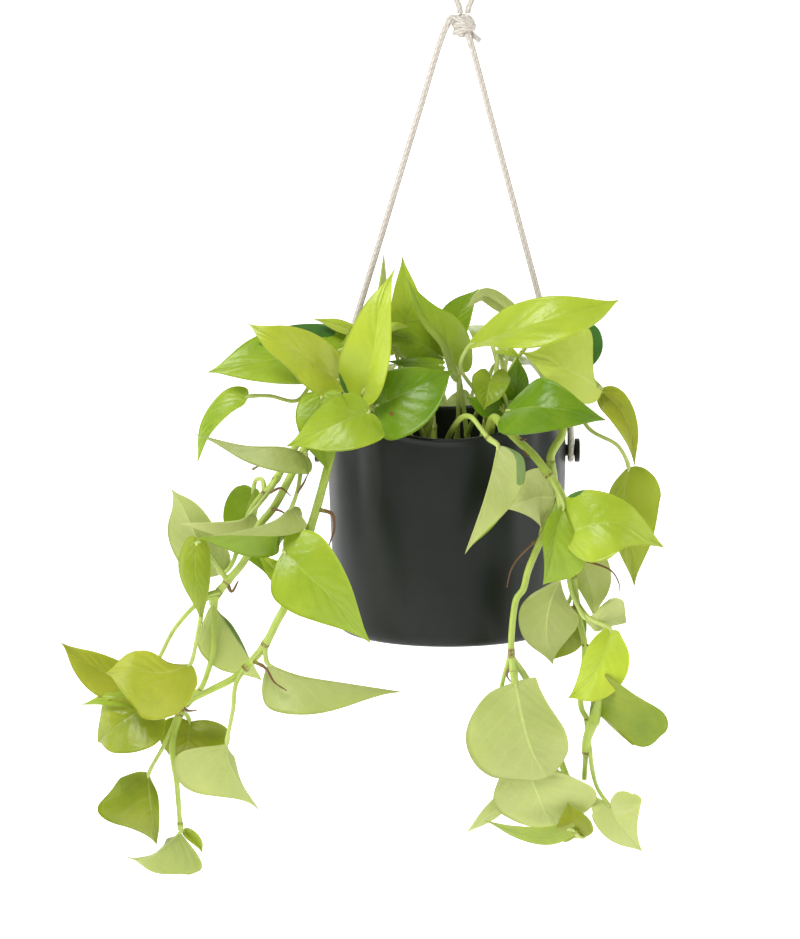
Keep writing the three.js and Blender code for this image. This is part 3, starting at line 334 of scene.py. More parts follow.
def tube(line: Array, radius: Array, sides: int, tint: Array, finish: int = 0) -> Surface:
    """A round rod along a line.

    Formula: the point at a place and an angle is the line's place plus the radius there times (the first
    frame direction times the cosine plus the second times the sine).

    Args:
        line: its centre line.
        radius: one radius for each place, or one for each place and side.
        sides: how many points go round it.
        tint: tint for each place, or for each place and side.
        finish: the number of its finish.

    Returns:
        The closed surface.
    """
    across, other = frames_along(line)
    angle = np.linspace(0, 2 * np.pi, sides, endpoint=False)[None, :, None]
    out = across[:, None] * np.cos(angle) + other[:, None] * np.sin(angle)
    radii = radius if np.ndim(radius) == 2 else np.asarray(radius)[:, None]
    reach = np.broadcast_to(radii, (len(line), sides))
    values = tint if np.ndim(tint) == 3 else np.asarray(tint)[:, None]
    return closed_rings(line[:, None] + reach[..., None] * out, values, line[0], line[-1], finish)


def vertex_normals(points: Array, triangles: Array) -> Array:
    """The direction of each vertex: the sum of the cross products of its triangles' edges, made one long."""
    a, b, c = (points[triangles[:, k]] for k in range(3))
    normals = np.zeros_like(points)
    for corner in range(3):
        np.add.at(normals, triangles[:, corner], np.cross(b - a, c - a))
    return unit(normals)


def add_piece(
    name: str,
    surface: Surface,
    finishes: list[bpy.types.Material],
    nodes: list[str],
) -> bpy.types.Object:
    """Makes the object of a surface and ties it to the frame.

    Args:
        name: the piece's name.
        surface: its shells, in millimetres.
        finishes: its materials, in the order that the surface numbers them.
        nodes: the solids of the frame that it stands for.

    Returns:
        The object.
    """
    mesh = bpy.data.meshes.new(name)
    mesh.from_pydata(in_frame(surface.points).tolist(), [], surface.triangles.tolist())
    mesh.polygons.foreach_set("use_smooth", np.ones(len(surface.triangles), bool))
    mesh.polygons.foreach_set("material_index", surface.finish.astype(np.int32))
    mesh.uv_layers.new(name="UVMap").data.foreach_set("uv", surface.uv.astype(np.float32).ravel())
    tint = mesh.attributes.new("tint", "FLOAT_COLOR", "POINT")
    tint.data.foreach_set("color", surface.tint.astype(np.float32).ravel())
    for finish in finishes:
        mesh.materials.append(finish)
    mesh.update()
    piece = bpy.data.objects.new(name, mesh)
    bpy.context.scene.collection.objects.link(piece)
    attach(piece, BODY)
    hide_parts(*nodes)
    log.info("%s: %d triangles", name, len(surface.triangles))
    return piece


# Finishes


@dataclass
class Shading:
    """The nodes of one material, added step by step."""

    name: str
    material: bpy.types.Material = field(init=False)

    def __post_init__(self) -> None:
        """Starts a material with one principled shader."""
        self.material = bpy.data.materials.new(self.name)
        self.material.use_nodes = True
        self.tree = self.material.node_tree
        self.shader = self.tree.nodes["Principled BSDF"]

    def node(self, kind: str, **values: object) -> bpy.types.Node:
        """A node of a kind, its properties set from the values."""
        made = self.tree.nodes.new(kind)
        for key, value in values.items():
            setattr(made, key, value)
        return made

    def feed(self, socket: bpy.types.NodeSocket, value: object) -> None:
        """Links a socket to another node's output, or sets it to a plain value."""
        if isinstance(value, bpy.types.NodeSocket):
            self.tree.links.new(value, socket)
        else:
            socket.default_value = value

    def math(self, operation: str, *values: object, clamp: bool = False) -> bpy.types.NodeSocket:
        """The result of one arithmetic step."""
        made = self.node("ShaderNodeMath", operation=operation, use_clamp=clamp)
        for socket, value in zip(made.inputs, values):
            self.feed(socket, value)
        return made.outputs[0]

    def step(self, value: object, low: float, high: float) -> bpy.types.NodeSocket:
        """A soft step of a value from 0 at low to 1 at high."""
        made = self.node("ShaderNodeMapRange", interpolation_type="SMOOTHSTEP")
        for key, given in (("Value", value), ("From Min", low), ("From Max", high)):
            self.feed(made.inputs[key], given)
        return made.outputs["Result"]

    def mix(self, share: object, first: object, second: object) -> bpy.types.NodeSocket:
        """A colour between two."""
        made = self.node("ShaderNodeMix", data_type="RGBA")
        self.feed(made.inputs["Factor"], share)
        self.feed(made.inputs[6], first)
        self.feed(made.inputs[7], second)
        return made.outputs[2]

    def noise(self, scale: float, detail: float = 3.0, roughness: float = 0.55) -> bpy.types.NodeSocket:
        """Cloudy noise over the object's own coordinates, scale patches to the metre."""
        made = self.node("ShaderNodeTexNoise")
        self.feed(made.inputs["Vector"], self.place())
        self.feed(made.inputs["Scale"], scale)
        self.feed(made.inputs["Detail"], detail)
        self.feed(made.inputs["Roughness"], roughness)
        return made.outputs["Fac"]

    def place(self) -> bpy.types.NodeSocket:
        """The object's own coordinates."""
        return self.node("ShaderNodeTexCoord").outputs["Object"]

    def pattern(self) -> tuple[bpy.types.NodeSocket, bpy.types.NodeSocket]:
        """The two pattern coordinates of the surface."""
        split = self.node("ShaderNodeSeparateXYZ")
        self.feed(split.inputs[0], self.node("ShaderNodeUVMap", uv_map="UVMap").outputs[0])
        return split.outputs[0], split.outputs[1]

    def tint(self) -> list[bpy.types.NodeSocket]:
        """The four tint values of the surface."""
        read = self.node("ShaderNodeAttribute", attribute_name="tint")
        split = self.node("ShaderNodeSeparateColor")
        self.feed(split.inputs[0], read.outputs["Color"])
        return [*split.outputs[:3], read.outputs["Alpha"]]

    def relief(self, height: object, strength: float, depth: float) -> None:
        """Bump on the whole surface, depth in metres."""
        bump = self.node("ShaderNodeBump")
        self.feed(bump.inputs["Strength"], strength)
        self.feed(bump.inputs["Distance"], depth)
        self.feed(bump.inputs["Height"], height)
        self.feed(self.shader.inputs["Normal"], bump.outputs[0])

    def surface(self, **values: object) -> bpy.types.Material:
        """Feeds the principled shader's sockets, underscores standing for blanks, and gives the material."""
        for key, value in values.items():
            self.feed(self.shader.inputs[key.replace("_", " ")], value)
        return self.material


def linear(red: int, green: int, blue: int) -> Colour:
    """A colour given in screen values from 0 to 255, as the linear values that a shader takes."""
    value = np.array([red, green, blue]) / 255
    low, high = value / 12.92, ((value + 0.055) / 1.055) ** 2.4
    return (*np.where(value <= 0.04045, low, high).tolist(), 1.0)


@dataclass(frozen=True)
class LeafFinish:
    """Waxy chartreuse leaf.

    Its tint is the share of underside, dark green sectors less the olive cast, tone from deep to bright, and
    withered brown. Besides the leaf's own colour, the tone is painted shade on leaves in shadow and painted
    light on backlit leaves.
    """

    # deep and bright are the leaf's own darker and yellower green, and also shaded and lit copies of it:
    # painted shade and painted light. The olive and pale pairs are the same.
    deep: Colour = linear(98, 134, 12)
    bright: Colour = linear(180, 196, 58)
    olive_deep_and_shaded: Colour = linear(108, 122, 10)
    olive_bright_and_lit: Colour = linear(186, 181, 60)
    green: Colour = linear(48, 98, 44)
    pale_deep_and_shaded: Colour = linear(152, 158, 86)
    pale_bright_and_lit: Colour = linear(194, 198, 138)
    rib: Colour = linear(206, 220, 138)
    brown: Colour = linear(126, 88, 48)
    side_veins: float = 7.0

    def build(self) -> bpy.types.Material:
        """The material: colour from the tint and soft noise, ribs from the pattern coordinates."""
        s = Shading("pothos_leaf")
        under, green, tone, brown = s.tint()
        along, across = s.pattern()
        out = s.math("ABSOLUTE", s.math("SUBTRACT", s.math("MULTIPLY", across, 2.0), 1.0))
        inner = s.math("SUBTRACT", 1.0, s.math("MULTIPLY", out, out))
        broad, cloud, fine = s.noise(30.0, 4.0), s.noise(130.0, 3.0), s.noise(1300.0, 2.0)
        drift = s.math("MULTIPLY", s.math("SUBTRACT", cloud, 0.5), 0.12)
        course = s.math("ADD", s.math("MULTIPLY_ADD", out, -SWEEP, along), drift)
        wave = s.math("COSINE", s.math("MULTIPLY", course, 2 * math.pi * self.side_veins))
        vein = s.math("MULTIPLY", s.step(wave, 0.93, 1.0), inner)
        rib = s.math("SUBTRACT", 1.0, s.step(out, 0.0, 0.045))
        # Painted shade and light: the tone mixes from the deep to the bright colours, darker for leaves in
        # shadow and brighter for backlit ones, with soft noise.
        tone_light_share = s.math("MULTIPLY_ADD", s.math("SUBTRACT", broad, 0.5), 0.7, tone, clamp=True)
        cast = s.math("MULTIPLY", green, -1.0, clamp=True)
        olive = s.mix(tone_light_share, self.olive_deep_and_shaded, self.olive_bright_and_lit)
        face = s.mix(cast, s.mix(tone_light_share, self.deep, self.bright), olive)
        edge = s.math("MULTIPLY_ADD", s.math("SUBTRACT", cloud, 0.5), 0.9, green)
        sector = s.math("MULTIPLY", s.step(edge, 0.42, 0.58), 0.9)
        face = s.mix(sector, face, self.green)
        pale = s.mix(tone_light_share, self.pale_deep_and_shaded, self.pale_bright_and_lit)
        colour = s.mix(under, face, s.mix(s.math("MULTIPLY_ADD", sector, -0.55, 0.74), face, pale))
        strong = s.math("MULTIPLY_ADD", under, 0.3, 0.18)
        faint = s.math("MULTIPLY_ADD", under, 0.1, 0.05)
        lines = s.math("MULTIPLY_ADD", vein, faint, s.math("MULTIPLY", rib, strong))
        colour = s.mix(s.math("MINIMUM", lines, 1.0), colour, self.rib)
        worn = s.math("MULTIPLY_ADD", s.math("SUBTRACT", s.noise(260.0), 0.5), 0.8, brown)
        colour = s.mix(s.step(worn, 0.4, 0.6), colour, self.brown)
        depth = s.math("MULTIPLY_ADD", under, 0.07, -0.12)
        quilt = s.math("MULTIPLY", s.math("MULTIPLY", wave, inner), depth)
        height = s.math("MULTIPLY_ADD", fine, 0.05, s.math("MULTIPLY_ADD", cloud, 0.8, quilt))
        s.relief(height, 0.7, 0.0011)
        gloss = s.math("MULTIPLY_ADD", under, 0.1, s.math("MULTIPLY_ADD", broad, 0.14, 0.26))
        return s.surface(
            Base_Color=colour,
            Roughness=gloss,
            Specular_IOR_Level=0.34,
            Subsurface_Weight=0.25,
            Subsurface_Radius=(0.6, 0.8, 0.12),
            Subsurface_Scale=0.003,
        )


@dataclass(frozen=True)
class StemFinish:
    """Fresh stem.

    The first, third and fourth value of its tint are shade, paleness, and the brown of a sheath or root.
    """

    vine: Colour = linear(170, 192, 62)
    stalk: Colour = linear(196, 210, 124)
    shade: Colour = linear(122, 150, 40)
    brown: Colour = linear(112, 78, 42)
    streaks: int = 7

    def build(self) -> bpy.types.Material:
        """The material: colour from the tint, faint lengthwise streaks and a satin skin."""
        s = Shading("pothos_stem")
        shade, _, pale, brown = s.tint()
        around, along = s.pattern()
        colour = s.mix(pale, self.vine, self.stalk)
        streak = s.math("SINE", s.math("MULTIPLY", around, 2 * math.pi * self.streaks))
        uneven = s.math("MULTIPLY_ADD", streak, 0.1, s.noise(120.0, 4.0))
        colour = s.mix(s.math("MULTIPLY", s.step(uneven, 0.35, 0.75), 0.3), colour, self.shade)
        colour = s.mix(shade, colour, self.shade)
        worn = s.math("MULTIPLY_ADD", s.math("SUBTRACT", s.noise(700.0), 0.5), 0.7, brown)
        colour = s.mix(s.step(worn, 0.3, 0.7), colour, self.brown)
        s.relief(s.math("ADD", s.noise(600.0), s.math("MULTIPLY", streak, 0.15)), 0.25, 0.0004)
        return s.surface(Base_Color=colour, Roughness=0.42, Subsurface_Weight=0.1, Subsurface_Scale=0.002)


@dataclass(frozen=True)
class PotFinish:
    """Moulded anthracite plastic with a satin skin, softly clouded and faintly grained."""

    dark: Colour = linear(16, 21, 17)
    light: Colour = linear(27, 32, 27)

    def build(self) -> bpy.types.Material:
        """The material: two close shades under broad noise, a fine grain, and rubbed patches."""
        s = Shading("pot_anthracite")
        broad, grain = s.noise(14.0, 5.0), s.noise(1500.0, 2.0)
        colour = s.mix(s.step(broad, 0.3, 0.75), self.dark, self.light)
        rough = s.math("MULTIPLY_ADD", s.noise(60.0, 4.0), 0.12, s.math("MULTIPLY_ADD", grain, 0.06, 0.3))
        s.relief(s.math("MULTIPLY_ADD", grain, 0.6, s.noise(240.0)), 0.12, 0.0003)
        return s.surface(Base_Color=colour, Roughness=rough, Specular_IOR_Level=0.27)


@dataclass(frozen=True)
class SoilFinish:
    """Moist potting soil. The third value of its tint is how pale a crumb is."""

    dark: Colour = linear(38, 27, 20)
    light: Colour = linear(92, 68, 48)
    bark: Colour = linear(132, 98, 66)

    def build(self) -> bpy.types.Material:
        """The material: dark crumbs with lighter fibres and pale bark."""
        s = Shading("potting_soil")
        pale = s.tint()[2]
        crumb, fibre = s.noise(420.0, 5.0, 0.7), s.noise(1400.0, 3.0)
        colour = s.mix(s.step(crumb, 0.42, 0.7), self.dark, self.light)
        colour = s.mix(pale, colour, self.bark)
        s.relief(s.math("MULTIPLY_ADD", fibre, 0.4, crumb), 0.8, 0.0012)
        return s.surface(Base_Color=colour, Roughness=0.92)


@dataclass(frozen=True)
class RopeFinish:
    """Braided beige cord.

    Its tint is the length run in millimetres, and the cosine and the sine of the angle round it.

    Attributes:
        light: colour of the light yarns.
        warm: their colour where the yarn is warmer.
        fleck_and_valley_shade: colour of the darker yarns, also painted as shade in the valleys between them.
        strands: strands of one family round the cord.
        cell: length in millimetres over which the pattern repeats.
    """

    light: Colour = linear(238, 232, 224)
    warm: Colour = linear(222, 213, 202)
    fleck_and_valley_shade: Colour = linear(168, 158, 142)
    strands: int = 6
    cell: float = 2.8

    def build(self) -> bpy.types.Material:
        """The material: a plain braid of light yarns with darker flecks and painted shade between them, soft
        and matt.

        Formula: a strand of one family runs where the strands times the angle plus the length run in cells is
        a whole turn, and of the other family where it is less instead of plus. Their heights are the cosines
        of both, raised and lowered in turn by the cosine of the strands times the angle, and the higher one
        shows.
        """
        s = Shading("braided_cord")
        run, cosine, sine, _ = s.tint()
        turn = s.math("MULTIPLY", s.math("ARCTAN2", sine, cosine), float(self.strands))
        course = s.math("MULTIPLY", run, 2 * math.pi / self.cell)
        one, other = s.math("ADD", turn, course), s.math("SUBTRACT", turn, course)
        over = s.math("COSINE", turn)
        high = s.math("ADD", s.math("COSINE", one), over)
        low = s.math("SUBTRACT", s.math("COSINE", other), over)
        upper = s.math("GREATER_THAN", high, low)
        shown = s.math("ADD", other, s.math("MULTIPLY", upper, s.math("SUBTRACT", one, other)))
        number = s.math("FLOOR", s.math("ADD", s.math("DIVIDE", shown, 2 * math.pi), 0.5))
        alternate = s.math("LESS_THAN", s.math("FLOORED_MODULO", number, 2.0), 0.5)
        family = s.math("MULTIPLY_ADD", upper, -0.45, 0.45)
        dark = s.math("MULTIPLY_ADD", alternate, 0.25, family)
        height = s.math("MAXIMUM", high, low)
        colour = s.mix(s.step(s.noise(700.0), 0.35, 0.7), self.light, self.warm)
        colour = s.mix(dark, colour, self.fleck_and_valley_shade)
        # Painted shade: the yarns darken towards the fleck colour in the valleys between them.
        painted_valley_shade = s.math("SUBTRACT", 1.0, s.step(height, -0.3, 0.9))
        colour = s.mix(s.math("MULTIPLY", painted_valley_shade, 0.3), colour, self.fleck_and_valley_shade)
        s.relief(height, 0.8, 0.0003)
        return s.surface(Base_Color=colour, Roughness=0.88, Sheen_Weight=0.2, Sheen_Roughness=0.5)


# The pot and the soil


@dataclass
class Pot:
    """The moulded pot: round base, two raised ears, dips in the rim, soft folds, rolled lip, rope bosses.

    Attributes:
        foot_radius: outer radius just above the rounded foot.
        rim_radius: outer radius at the rim.
        corner: radius of the rounded foot.
        wall: thickness of the wall.
        floor: thickness of the floor.
        rim_low: rim height in the dips at the front and the rear.
        ear_rise: how much higher the two ears stand.
        ear_lean: how far the ropes pull the top of each ear inwards.
        ear_lean_start: height at which the lean begins.
        lip: how far the rolled lip stands out.
        fold_top: height at which the folds are deepest.
        fold_foot: height at which they have run out.
        boss_height: height of the axis of both bosses.
        boss_core: radius at the bottom of the groove.
        boss_flange: radius of the flange that keeps the rope in.
        flange_in: distance of the flange's inner face from the pot's axis.
        flange_out: distance of its outer face.
        outside_end: distance below the rim at which the outside ends and the lip begins.
        inside_end: height down to which the inside follows the rim.
        inside_fold_foot: height at which the folds have run out on the inside.
        sides: how many places go round the wall.
    """

    foot_radius: float = 83.0
    rim_radius: float = 90.2
    corner: float = 5.0
    wall: float = 3.0
    floor: float = 4.0
    rim_low: float = 158.0
    ear_rise: float = 23.0
    ear_lean: float = 8.5
    ear_lean_start: float = 140.0
    lip: float = 1.3
    fold_top: float = 150.0
    fold_foot: float = 40.0
    boss_height: float = 136.6
    boss_core: float = 4.2
    boss_flange: float = 9.0
    flange_in: float = 96.8
    flange_out: float = 100.5
    outside_end: float = 4.2
    inside_end: float = 120.0
    inside_fold_foot: float = 129.0
    sides: int = 288

    def rim_height(self, angle: Array) -> Array:
        """Height of the rim: its low height plus the rise times the cosine squared."""
        return self.rim_low + self.ear_rise * np.cos(angle) ** 2

    def wall_radius(self, height: Array) -> Array:
        """Outer radius: from the foot to the rim, growing as 1 less the square of the rest of the height."""
        rest = 1 - height / self.rim_low
        return self.foot_radius + (self.rim_radius - self.foot_radius) * (1 - rest * np.abs(rest))

    def relief(self, angle: Array, height: Array, fold_foot: float) -> Array:
        """Change of the radius by the folds and by the lean of the ears.

        Formula: a groove and two swellings as bells over the angle from the ear, growing with the height,
        less the lean times the cosine to the power of 8 and a soft step over the height of the ear.

        Args:
            angle: angle about the axis, 0 at the right ear.
            height: height above the underside.
            fold_foot: height at which the folds have run out.

        Returns:
            The change in millimetres.
        """
        from_ear = np.degrees(np.arccos(np.minimum(1, np.abs(np.cos(angle)))))
        groove = 39 + (self.fold_top - height) * 0.06
        folds = -2.2 * bell(from_ear, groove, 7) + 1.4 * bell(from_ear, 58, 9) + 0.8 * bell(from_ear, 24, 7)
        lean = np.cos(angle) ** 8 * smooth(self.ear_lean_start, self.rim_low + self.ear_rise, height)
        return folds * smooth(fold_foot, self.fold_top, height) - self.ear_lean * lean

    def inner_radius(self, height: float) -> float:
        """Radius of the plain inner wall."""
        return float(self.wall_radius(height)) - self.wall

    def shell(self) -> Surface:
        """The pot's wall and floor.

        Formula: rings over the angle, first round the foot on a quarter circle, then up the outside, over the
        lip on a half ellipse, down the inside and onto the floor. Each ring's height follows the rim in
        proportion, and its radius is the wall's at that height plus the relief.
        """
        angle = np.linspace(0, 2 * np.pi, self.sides, endpoint=False)
        rim = self.rim_height(angle)
        rings: list[tuple[Array, Array]] = []
        for turn in np.linspace(0, np.pi / 2, 7)[:-1]:
            radius = self.foot_radius - self.corner * (1 - math.sin(turn)) + 0 * angle
            rings.append((radius, self.corner * (1 - math.cos(turn)) + 0 * angle))
        for share in np.linspace(0, 1, 58) ** 0.9:
            height = self.corner + (rim - self.outside_end - self.corner) * share
            rings.append((self.wall_radius(height) + self.relief(angle, height, self.fold_foot), height))
        edge = self.wall_radius(rim - 2) + self.relief(angle, rim - 2, self.fold_foot)
        half = (self.lip + self.wall) / 2
        for turn in np.linspace(-0.25, np.pi, 15):
            out = edge + self.lip - half + half * math.cos(turn)
            rings.append((out, rim - half + half * math.sin(turn)))
        for share in np.linspace(0.06, 1, 22):
            height = rim - half + (self.inside_end - rim + half) * share
            folds = self.relief(angle, height, self.inside_fold_foot)
            inside = self.wall_radius(height) - self.wall + folds
            rings.append((inside, height))
        for height in (90.0, 50.0, 12.0):
            rings.append((self.inner_radius(height) + 0 * angle, height + 0 * angle))
        for back, height in ((1.2, 6.2), (4.0, self.floor)):
            rings.append((self.inner_radius(self.floor) - back + 0 * angle, height + 0 * angle))
        places = np.stack([np.stack([r * np.cos(angle), r * np.sin(angle), z], -1) for r, z in rings])
        uneven = 0.35 * unrest(places * [1, 1, 0.35], 70.0, 3) * smooth(8, 60, places[..., 2])
        places[..., :2] += unit(places[..., :2]) * uneven[..., None]
        return closed_rings(places, np.zeros(4), np.array([0, 0, 0.0]), np.array([0, 0, self.floor]))

    def boss(self, side: int) -> Surface:
        """A grooved round boss on one side: a profile of radius and distance, turned about the sideways axis.

        Args:
            side: -1 for the left, 1 for the right.

        Returns:
            Its closed surface.
        """
        edge = 0.9
        turns = np.linspace(0, np.pi / 2, 6)
        bulge, drop = edge * np.sin(turns), edge * (1 - np.cos(turns))
        flat = self.boss_flange - edge
        round_in = list(zip(flat + bulge, self.flange_in + drop))
        round_out = list(zip(flat + bulge, self.flange_out - drop))[::-1]
        foot, bottom = self.rim_radius - 3, self.flange_out - 0.5
        core = [(self.boss_core + 1.2, foot), (self.boss_core, foot + 4.0), (self.boss_core, self.flange_in)]
        dish = [(flat - 1.7, self.flange_out), (flat - 2.5, bottom), (1.4, bottom)]
        profile = np.array(core + round_in + round_out + dish)
        turn = np.linspace(0, 2 * np.pi, 56, endpoint=False) * side
        radius, along = profile[:, :1], profile[:, 1:]
        rings = np.stack(
            [side * along + 0 * turn, radius * np.cos(turn), self.boss_height + radius * np.sin(turn)], -1
        )
        first = np.array([side * foot, 0, self.boss_height])
        last = np.array([side * bottom, 0, self.boss_height])
        return closed_rings(rings, np.zeros(4), first, last)

    def build(self) -> None:
        """Makes the pot's piece."""
        surface = Surface.joined([self.shell(), self.boss(-1), self.boss(1)])
        add_piece("hanging_pot", surface, [PotFinish().build()], ["pot"])


@dataclass
class Soil:
    """The soil in the pot: a mounded, crumbly top, loose crumbs and bark on it, plain sides and underside.

    Attributes:
        pot: the pot that it fills.
        level: its level at the wall.
        mound: how much higher its middle is.
        reach: distance from the axis at which the mound has come down.
        spread: how far from the axis loose crumbs lie.
        crumbs: how many there are.
        bark: the share of them that are chips of bark.
        underside: its lowest level, just over the pot's floor.
    """

    pot: Pot
    level: float = 127.0
    mound: float = 3.0
    reach: float = 88.0
    spread: float = 84.0
    crumbs: int = 260
    bark: float = 0.3
    underside: float = 4.4

    def top(self, radius: Array, angle: Array) -> Array:
        """Height of the top: its level, the mound that falls with the square of the distance, and crumbs.

        Args:
            radius: distance from the pot's axis.
            angle: angle about it.

        Returns:
            The height of each place.
        """
        place = np.stack([radius * np.cos(angle), radius * np.sin(angle), 0 * radius * angle], -1)
        rough = 0.9 * unrest(place, 14.0, 5) + 0.6 * unrest(place, 5.0, 6) + 0.35 * unrest(place, 2.4, 7)
        return self.level - 1.0 + self.mound * (1 - (radius / self.reach) ** 2) + rough

    def body(self) -> Surface:
        """The heap: rings from the floor up the side, and over the crumbly top to the middle."""
        angle = np.linspace(0, 2 * np.pi, 220, endpoint=False)[None]
        low, halfway = self.pot.inner_radius(self.pot.floor) - 4.2, self.pot.inner_radius(60) - 1.0
        side = np.array([(low, self.underside), (halfway, 60.0)])[:, :, None]
        lower = np.stack([side[:, 0] * np.cos(angle), side[:, 0] * np.sin(angle), side[:, 1] + 0 * angle], -1)
        radius = np.linspace(self.pot.inner_radius(self.level) - 0.6, 2.0, 62)[:, None]
        upper = np.stack([radius * np.cos(angle), radius * np.sin(angle), self.top(radius, angle)], -1)
        rings = np.concatenate([lower, upper])
        peak = self.level + self.mound - 1.0
        return closed_rings(rings, np.zeros(4), np.array([0, 0, self.underside]), np.array([0, 0, peak]))

    def crumb(self, rng: np.random.Generator) -> Surface:
        """One crumb or chip of bark: a stretched ball of four rings, pushed in and out, lying on the top.

        Args:
            rng: where its chances come from.

        Returns:
            Its closed surface.
        """
        where, turn = self.spread * math.sqrt(rng.uniform()), rng.uniform(0, 2 * np.pi)
        bark = rng.uniform() < self.bark
        size = rng.uniform(0.9, 2.4) * (np.array([2.0, 1.0, 0.5]) if bark else np.array([1.0, 0.9, 0.8]))
        ball = ball_rings(np.linspace(-1.1, 1.1, 4), 7) * rng.uniform(0.75, 1.25, (4, 7, 1)) * size
        spin = rng.uniform(0, np.pi)
        cosine, sine = math.cos(spin), math.sin(spin)
        swing = np.array([[cosine, -sine, 0], [sine, cosine, 0], [0, 0, 1]])
        height = float(self.top(np.array(where), np.array(turn)))
        middle = np.array([where * math.cos(turn), where * math.sin(turn), height + 0.2 * size[2]])
        tint = np.array([0, 0, rng.uniform(0.5, 1.0) if bark else rng.uniform(0, 0.25), 0])
        poles = [middle + [0, 0, -size[2]], middle + [0, 0, size[2]]]
        return closed_rings(ball @ swing.T + middle, tint, *poles)

    def build(self) -> None:
        """Makes the soil's piece."""
        rng = np.random.default_rng(11)
        loose = [self.crumb(rng) for _ in range(self.crumbs)]
        surface = Surface.joined([self.body(), *loose])
        add_piece("potting_soil", surface, [SoilFinish().build()], ["soil"])


# The ropes


class Lay(Enum):
    """How a free cord lies."""

    TAUT = "taut"
    HANGING = "hanging"


def cord_surface(points: list[Point], radius: float, sides: int = 20) -> Surface:
    """A round, smooth length of cord.

    Its tint carries the length run and the angle round it, from which its finish works out the braid.

    Args:
        points: the points of its route.
        radius: its radius.
        sides: how many points go round it.

    Returns:
        Its closed surface.
    """
    line = even_line(points, 1.0, Knots.CENTRIPETAL)
    run = np.linspace(0, line_length(line), len(line))[:, None]
    angle = np.linspace(0, 2 * np.pi, sides, endpoint=False)[None]
    level = 0 * run * angle
    tint = np.stack([run + level, np.cos(angle) + level, np.sin(angle) + level, level], -1)
    return tube(line, radius + level, sides, tint)


@dataclass(frozen=True)
class Rope:
    """One length of braided cord that starts at the knot and ends in it.

    Attributes:
        name: the piece's name.
        node: the solid of the frame that it stands for.
        points: the points of its route.
        lay: how it lies.
        radius: its radius.
    """

    name: str
    node: str
    points: list[Point]
    lay: Lay
    radius: float

    def build(self, finish: bpy.types.Material, knot: bpy.types.Object) -> None:
        """Args:
            finish: its material.
            knot: the piece at its far end; not used.
        """
        piece = add_piece(self.name, cord_surface(self.points, self.radius), [finish], [self.node])


